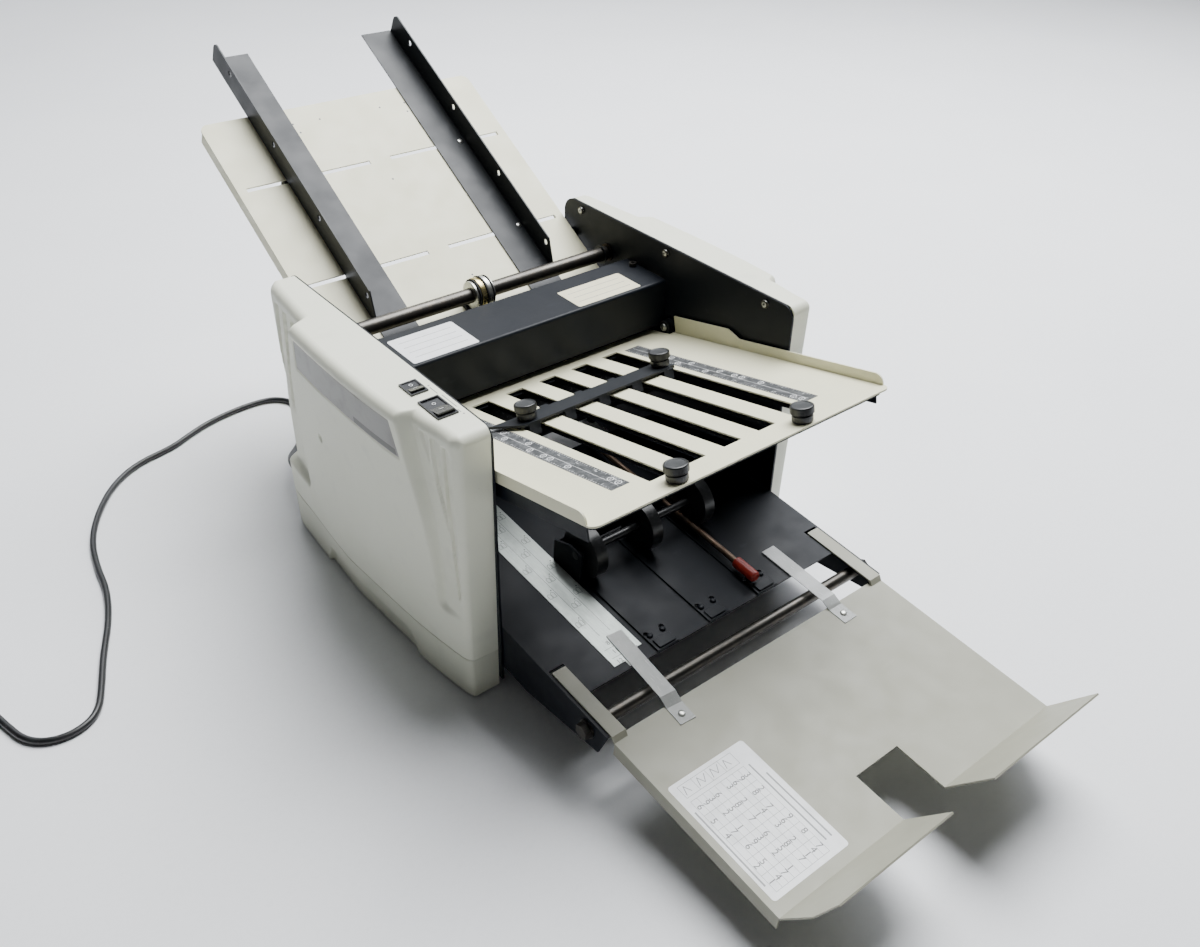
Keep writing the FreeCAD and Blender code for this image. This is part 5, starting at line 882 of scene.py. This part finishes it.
FEED_AXIS = (0, 144, 244.5)
FEED_WHEEL = [
    (0, [(6.0, -12.0), (13.6, -12.0), (14.4, -11.6), (14.5, -11.0), (14.5, -9.8), (14.0, -9.4), (11.5, -9.3)]),
    (2, [(11.5, -9.3), (15.4, -9.1), (16.3, -8.6), (16.3, -7.7), (15.4, -7.2), (12.5, -7.1)]),
    (1, [(12.5, -7.1), (15.8, -7.0), (16.6, -6.6), (16.8, -5.9), (16.8, -1.8), (16.5, -1.2), (12.5, -1.0)]),
    (2, [(12.5, -1.0), (16.8, -0.9), (17.5, -0.4), (17.5, 0.5), (16.8, 1.0), (12.5, 1.1)]),
    (0, [(12.5, 1.1), (15.6, 1.2), (16.3, 1.6), (16.5, 2.2), (16.5, 5.6), (16.1, 6.2), (12.5, 6.4)]),
    (2, [(12.5, 6.4), (15.9, 6.5), (16.7, 7.0), (16.7, 7.9), (15.9, 8.4), (11.5, 8.5)]),
    (0, [(11.5, 8.5), (13.2, 8.6), (13.8, 9.0), (13.8, 10.2), (13.2, 10.5), (9.6, 10.6), (9.3, 12.0), (6.0, 12.0)]),
]


def add_feed_wheel():
    across = machine @ Matrix.Translation(FEED_AXIS) @ Matrix.Rotation(math.radians(90), 4, "Y")
    shape = bmesh.new()
    for finish, profile in FEED_WHEEL:
        turned(shape, profile, finish, Matrix(), 72)
    for turn in (35, 155, 275):
        spoke = Matrix.Rotation(math.radians(turn), 4, "Z") @ Matrix.Translation((0, 0, 3.9))
        screw = spoke @ Matrix.Rotation(math.radians(90), 4, "Y")
        turned(shape, [(0, 16.2), (1.0, 16.2), (1.1, 16.6), (1.7, 16.6), (1.8, 16.0)], 3, screw, 20)
    finishes = [zinc_plate, turned_brass, roller_rubber, black_ink_and_shade]
    replaced = ["feed_wheel_hub", "feed_wheel_tyre"]
    new_piece("feed_wheel_rings", shape, across, finishes, "feed_roller", replaced)


add_feed_wheel()


# Signs moulded in the rockers, and the plain printed marks beside the switches.

ROCKERS = [("small", -43.5, 5.6), ("large", -81.2, 9.2)]
ROCKER_AXIS_HIGH = 283.5
ROCKER_TILT = -7.0
ROCKER_MIDDLE, ROCKER_DIP = 4.3, 1.2
SIGN_SHARE = 0.62
SIDE_LINES = (((-175.2, -50), (-175.2, -62)), ((-173.6, -66), (-173.6, -88)), ((-175.2, -92), (-175.2, -97)))


def add_rocker_marks():
    """White moulded-in signs on each rocker: a bar for on and a ring for off."""
    for name, y, reach in ROCKERS:
        tilt = Matrix.Rotation(math.radians(ROCKER_TILT), 4, "X")
        rocker = Matrix.Translation((SWITCH_X, y, ROCKER_AXIS_HIGH)) @ tilt
        shape = bmesh.new()
        rise = ROCKER_MIDDLE + ROCKER_DIP * SIGN_SHARE
        for end in (1, -1):
            face = rocker @ Matrix.Translation((0, end * reach * SIGN_SHARE, rise + 0.06))
            face = face @ Matrix.Rotation(end * math.atan2(ROCKER_DIP, reach), 4, "X")
            marks = bmesh.new()
            if end > 0:
                ring_mark(marks, (0, 0), 1.7, 0.5, 0, 0.08, 0)
            else:
                line(marks, (-1.9, 0), (1.9, 0), 0.6, 0, 0.08, 0)
            marks.transform(face)
            part = bpy.data.meshes.new("marks")
            marks.to_mesh(part)
            marks.free()
            shape.from_mesh(part)
            bpy.data.meshes.remove(part)
        new_piece(f"{name}_rocker_signs", shape, machine, [white_ink], f"{name}_switch")
    shape = bmesh.new()
    for start, end in SIDE_LINES:
        line(shape, start, end, 0.7, 287.02, 287.08, 0)
    for y in (-47, -100):
        dot = [(0, 287.02), (0.8, 287.02), (0.8, 287.08), (0, 287.08)]
        turned(shape, dot, 0, Matrix.Translation((-174.6, y, 0)), 16)
    new_piece("switch_side_marks", shape, machine, [grey_ink], "frame")


add_rocker_marks()


# Printed films on the fold table: a ruler at each side of the slots.


RULER_LOW, RULER_HIGH = -258.5, -11.0
RULER_FILM, RULER_INK = 0.14, 0.2
INCH = 25.4
RING_SHARES = (0.24, 0.31, 0.36, 0.47, 0.52, 0.6, 0.64, 0.74, 0.93, 0.97)


def add_ruler(name, low_x, high_x, inner):
    low, high = RULER_LOW, RULER_HIGH
    film, ink = RULER_FILM, RULER_INK
    shape = bmesh.new()
    slab(shape, rounded(low_x, high_x, low, high, 0.8), 0.02, film)
    eighth = INCH / 8
    for i in range(int((high - low - 6) / eighth)):
        y = high - 4 - i * eighth
        long = 3.2 if i % 8 == 0 else 2.1 if i % 4 == 0 else 1.2
        for edge, sign in ((low_x, 1), (high_x, -1)):
            line(shape, (edge + sign * 0.7, y), (edge + sign * (0.7 + long), y), 0.45, film, ink, 1)
        if i % 8 == 0 and i:
            print_text(shape, str(i // 8), 3.4, (low_x + 9.2 + 5.2 * inner, y - 2.2), 180, ink, 1)
    for share in RING_SHARES:
        x = (low_x + high_x) / 2 + (3.6 if int(share * 100) % 2 else -3.6) * inner
        y = high + share * (low - high)
        ring_mark(shape, (x, y), 3.1, 0.8, film, ink, 1)
        line(shape, (x - 1.3, y), (x + 1.3, y), 0.7, film, ink, 1)
    line(shape, ((low_x + high_x) / 2, high - 3), ((low_x + high_x) / 2, low + 3), 0.35, film, ink, 1)
    new_piece(name, shape, fold_table, [ruler_film, white_ink], "fold_table")


add_ruler("left_ruler", -118, -99.5, 1)
add_ruler("right_ruler", 96, 114.5, -1)


# Blank labels on the roller cover, with ruled lines in place of the printed words.


LABEL_LOW, LABEL_HIGH, LABEL_INK = 250.52, 250.68, 250.72


def add_label(name, low_x, high_x, low_y, high_y, face, inks):
    shape = bmesh.new()
    slab(shape, rounded(low_x, high_x, low_y, high_y, 2.2), LABEL_LOW, LABEL_HIGH)
    for i in range(inks):
        y = low_y + (i + 1) * (high_y - low_y) / (inks + 1)
        line(shape, (low_x + 7, y), (high_x - 7, y), 0.5, LABEL_HIGH, LABEL_INK, 1)
    new_piece(name, shape, machine, [face, grey_ink], "frame")


add_label("white_label", -135, -64, 47, 98, white_label, 4)
add_label("cream_label", 55, 135, 47.5, 86, cream_label, 3)


# The folding chart on the tray: a ruled grid of plain numbers with folded-sheet signs at one end.


CHART_SIDES = (-158.4, -77.6, -227.0, -109.0)
CHART_COLUMNS, CHART_ROWS = 9, 6
TRAY_FACE = -3.2


def add_chart():
    low_x, high_x, low_y, high_y = CHART_SIDES
    bottom = TRAY_FACE + 0.02
    film, ink = bottom + 0.14, bottom + 0.19
    shape = bmesh.new()
    slab(shape, rounded(low_x, high_x, low_y, high_y, 3), bottom, film)
    left, right, foot, head = low_x + 7, high_x - 17, low_y + 5, high_y - 20
    columns, rows = CHART_COLUMNS, CHART_ROWS
    for i in range(columns + 1):
        x = left + (right - left) * i / columns
        line(shape, (x, foot), (x, head), 0.25, film, ink, 2)
    for i in range(rows + 1):
        y = foot + (head - foot) * i / rows
        line(shape, (left, y), (right, y), 0.3, film, ink, 2)
    for i in range(columns):
        for j in range(rows):
            if (i + 2 * j) % 5 == 4:
                continue
            x = left + (right - left) * (i + 0.5) / columns
            y = foot + (head - foot) * (j + 0.5) / rows
            print_text(shape, str((3 * i + j) % 9 + 1), 8.4, (x, y), -90, ink, 1)
    for i in range(4):
        near, far = left + (right - left) * i / 4, left + (right - left) * (i + 1) / 4
        for start, end in (((near, head + 4), (near, head + 16)), ((far, head + 4), (far, head + 16))):
            line(shape, start, end, 0.3, film, ink, 2)
        points = [(near + 2, head + 6), (near + 4.5, head + 14), (near + 8, head + 7), (near + 12, head + 14)]
        for start, end in zip(points[: 2 + i % 3], points[1:]):
            line(shape, start, end, 0.5, film, ink, 1)
    for y in (head + 4, head + 16):
        line(shape, (left, y), (right, y), 0.3, film, ink, 2)
    for x, long in ((high_x - 6, 70), (high_x - 12, 84), (low_x + 3.5, 76)):
        line(shape, (x, foot + 8), (x, foot + 8 + long), 1.4, film, ink, 2)
    new_piece("folding_chart", shape, exit_deck, [white_label, black_ink_and_shade, grey_ink], "tray")


add_chart()


# Printing on the scale strip: sheet signs with their numbers, and ruled lines.


def add_scale_print():
    shape = bmesh.new()
    film, ink = 0.82, 0.88
    for x in (-104.5, -92.5):
        line(shape, (x, 44), (x, 258), 0.3, film, ink, 0)
    signs = [(-110, 62), (-98.5, 83), (-110, 104), (-87, 96), (-98.5, 122), (-110, 143), (-87, 136), (-98.5, 162)]
    signs += [(-110, 184), (-87, 178), (-98.5, 203), (-110, 225), (-87, 219), (-98.5, 243)]
    for x, y in signs:
        for shift, tall in ((-2.0, 4.6), (2.2, 5.8)):
            left, right = x + shift - 1.7, x + shift + 1.7
            corners = [(left, y), (right, y), (right, y + tall), (x + shift, y + tall + 1.8), (left, y + tall)]
            for start, end in zip(corners, corners[1:] + corners[:1]):
                line(shape, start, end, 0.35, film, ink, 0)
        turned(shape, [(0, film), (0.7, film), (0.7, ink), (0, ink)], 0, Matrix.Translation((x + 3.4, y + 9.4, 0)), 12)
    for x, y, words in ((-97, 33, "8 x 11"), (-97, 22, "11 x 17"), (-101, 11, "12 x 18")):
        print_text(shape, words, 6.6, (x, y), 0, ink, 0)
    for y in (27.5, 16.5):
        line(shape, (-112, y), (-84, y), 0.35, film, ink, 0)
    new_piece("scale_printing", shape, exit_deck, [black_ink_and_shade], "frame")


add_scale_print()


# Fasteners and small fittings.

PAN_HEAD = [(4.2, 0.0), (4.2, 0.7), (3.9, 1.5), (3.1, 2.1), (1.9, 2.45), (0, 2.5)]
CROSS_ARM = 3.2
PLATE_INSIDE = 168
PLATE_SCREWS = [(191.3, 277.8), (48.6, 277.8), (-95.3, 277.8)]
BOSS_SCREW = (158.2, 34.65, 201.0)


def cross_head(turn):
    """A pan head with a cross recess turned by an angle; the recess is not cut but painted as black slabs of shade."""
    shape = bmesh.new()
    turned(shape, PAN_HEAD, 0, Matrix(), 32)
    # Each arm of the cross is a thin black slab, painted shade in place of the hollow recess.
    for angle in (turn, turn + 90):
        arm = Matrix.Rotation(math.radians(angle), 4, "Z")
        slab(shape, rounded(-CROSS_ARM / 2, CROSS_ARM / 2, -0.4, 0.4, 0.3, 2), 1.8, 2.56, 1, arm)
    return shape


def add_cross_screws():
    """Zinc-plated cross-head screws on the insides of the side plates."""
    for side, sign in (("right", -1), ("left", 1)):
        for i, (y, z) in enumerate(PLATE_SCREWS):
            shape = cross_head(20)
            inward = Matrix.Rotation(math.radians(90 * sign), 4, "Y")
            place = Matrix.Translation(spot(-PLATE_INSIDE * sign, y, z)) @ inward @ Matrix.Scale(MM, 4)
            new_piece(f"{side}_plate_screw_{i}", shape, place, [zinc_plate, black_ink_and_shade], "frame")


add_cross_screws()


def add_shaft_sleeve():
    """The tube over the feed shaft, with a spring clip in its groove at each end."""
    across = machine @ Matrix.Translation(FEED_AXIS) @ Matrix.Rotation(math.radians(90), 4, "Y")
    shape = bmesh.new()
    tube = [(6.2, -164.6), (7.5, -164.6), (7.8, -164.2), (7.8, 164.2), (7.5, 164.6), (6.2, 164.6)]
    turned(shape, tube, 0, Matrix(), 48)
    for end in (-158.6, 157.6):
        clip = [(7.6, 0), (10.4, 0), (10.6, 0.2), (10.6, 0.8), (10.4, 1.0), (7.6, 1.0)]
        turned(shape, [(radius, end + rise) for radius, rise in clip], 1, Matrix(), 40)
    new_piece("feed_shaft_tube", shape, across, [dark_shaft, bar_coat], "feed_roller")


add_shaft_sleeve()


def add_boss_screws():
    """The zinc-plated cross-head screw in the middle of each black pivot bush of the fold table."""
    across, back, up = BOSS_SCREW
    for side, sign in (("left", -1), ("right", 1)):
        shape = cross_head(35)
        face = Matrix.Translation(spot(sign * across, back, up)) @ Matrix.Rotation(math.radians(-90 * sign), 4, "Y")
        new_piece(f"{side}_boss_screw", shape, face @ Matrix.Scale(MM, 4), [zinc_plate, black_ink_and_shade], "frame")


add_boss_screws()


TRACKS = (-61.5, 0, 61.5)


def add_track_tabs():
    """The bent tab and the two pressed stops at the front end of each raised track of the deck."""
    shape = bmesh.new()
    for x in TRACKS:
        slab(shape, rounded(x - 9.5, x + 9.5, 1.2, 12.0, 1.2, 3), 2.0, 3.6)
        for side in (-1, 1):
            lump = Matrix.Translation((x + side * 7.4, 17.5, 2.0))
            turned(shape, [(3.0, 0), (2.9, 0.9), (2.3, 1.7), (1.2, 2.1), (0, 2.2)], 0, lump, 24)
    new_piece("deck_track_tabs", shape, exit_deck, [black_coat], "frame", edge=0.5)


add_track_tabs()


STRIP_RIVETS = [("left_strip_rivet", -100.2, -293.5, 60.9), ("right_strip_rivet", 100.6, -292.9, 61.0)]


def add_strip_rivets():
    """A tubular rivet with a thin washer through each clear strip."""
    for name, x, y, z in STRIP_RIVETS:
        local = exit_deck.inverted() @ spot(x, y, z)
        shape = bmesh.new()
        profile = [(3.1, -3.2), (3.1, -1.7), (2.9, -1.3), (2.2, -0.9), (1.2, -0.7), (0, -0.65)]
        turned(shape, profile, 0, Matrix.Translation((local.x, local.y, 0)), 32)
        new_piece(name, shape, exit_deck, [zinc_plate], "tray")


add_strip_rivets()


TABLE_END = 298
# Places on the feed table and its guides: x, and the distance down from the table's top end.
TABLE_MARKS = [(-36.9, 21.7), (36.7, 22.3), (68.1, 22.5), (65.4, 35.3), (-65.7, 34.2), (-68.3, 21.4)]
TABLE_MARKS += [(0, 120), (18, 262)]
GUIDE_STUDS = [(101.7, 92.7), (103.9, 220.0)]


def add_table_marks():
    """Small printed dots on the feed table that set the guides."""
    shape = bmesh.new()
    for x, d in TABLE_MARKS:
        middle = Matrix.Translation((x, TABLE_END - d, 0))
        turned(shape, [(0, 0.02), (1.1, 0.02), (1.1, 0.08), (0, 0.08)], 0, middle, 16)
    new_piece("feed_table_marks", shape, feed_table, [black_ink_and_shade], "frame")


add_table_marks()


def add_guide_studs():
    """The welded heads of the clamp studs, proud on the guides' feet."""
    for side, sign in (("left", -1), ("right", 1)):
        shape = bmesh.new()
        for x, d in GUIDE_STUDS:
            profile = [(3.2, 1.7), (3.1, 2.1), (2.2, 2.6), (1.0, 2.8), (0, 2.85)]
            turned(shape, profile, 0, Matrix.Translation((sign * x, TABLE_END - d, 0)), 28)
        new_piece(f"{side}_guide_studs", shape, feed_table, [zinc_plate], f"{side}_guide")


add_guide_studs()


# Floor and light: a pale paper sweep under wide soft lamps.


def studio_paper():
    """Seamless background paper: matt, very faint fibres and slow waves."""
    material, tree, shader = new_finish("seamless background paper", Roughness=0.85, IOR=1.45)
    slow = patches(tree, 300, 0.35, 0.7)
    fibres = patches(tree, 6, 0.5, 0.8, 5)
    toned(tree, shader, "#f1f2f4", [(slow, 0.5, "#eaebee"), (fibres, 0.2, "#e0e2e5")])
    grain(tree, shader, [(patches(tree, 3, 0.2, 0.8, 4), 0.03)])
    return material


FLOOR_RADIUS = 9


def add_floor():
    shape = bmesh.new()
    bmesh.ops.create_circle(shape, cap_ends=True, segments=64, radius=FLOOR_RADIUS)
    mesh = bpy.data.meshes.new("floor")
    shape.to_mesh(mesh)
    shape.free()
    mesh.materials.append(studio_paper())
    floor = bpy.data.objects.new("floor", mesh)
    bpy.context.scene.collection.objects.link(floor)


add_floor()


def add_lamp(name, place, aim, size, power, colour):
    data = bpy.data.lights.new(name, "AREA")
    data.shape = "DISK"
    data.size = size
    data.energy = power
    data.color = linear(colour)[:3]
    lamp = bpy.data.objects.new(name, data)
    lamp.location = place
    lamp.rotation_euler = (Vector(aim) - Vector(place)).to_track_quat("-Z", "Y").to_euler()
    bpy.context.scene.collection.objects.link(lamp)


add_lamp("top_lamp", (1.0, 0.6, 2.6), (0.1, 0, 0), 2.2, 215, "#fbfdff")
add_lamp("right_lamp", (2.4, 0.6, 1.9), (0, 0, 0.1), 1.6, 34, "#f4f8ff")
add_lamp("back_lamp", (0.6, 3.2, 1.9), (0, 0, 0.2), 2.6, 36, "#f4f8ff")


def add_sky():
    world = bpy.data.worlds.new("studio")
    world.use_nodes = True
    tree = world.node_tree
    tree.nodes.clear()
    glow = add(tree, "ShaderNodeBackground", {"Color": linear("#eef0f3"), "Strength": 0.08})
    add(tree, "ShaderNodeOutputWorld", links={"Surface": glow.outputs[0]})
    bpy.context.scene.world = world


add_sky()
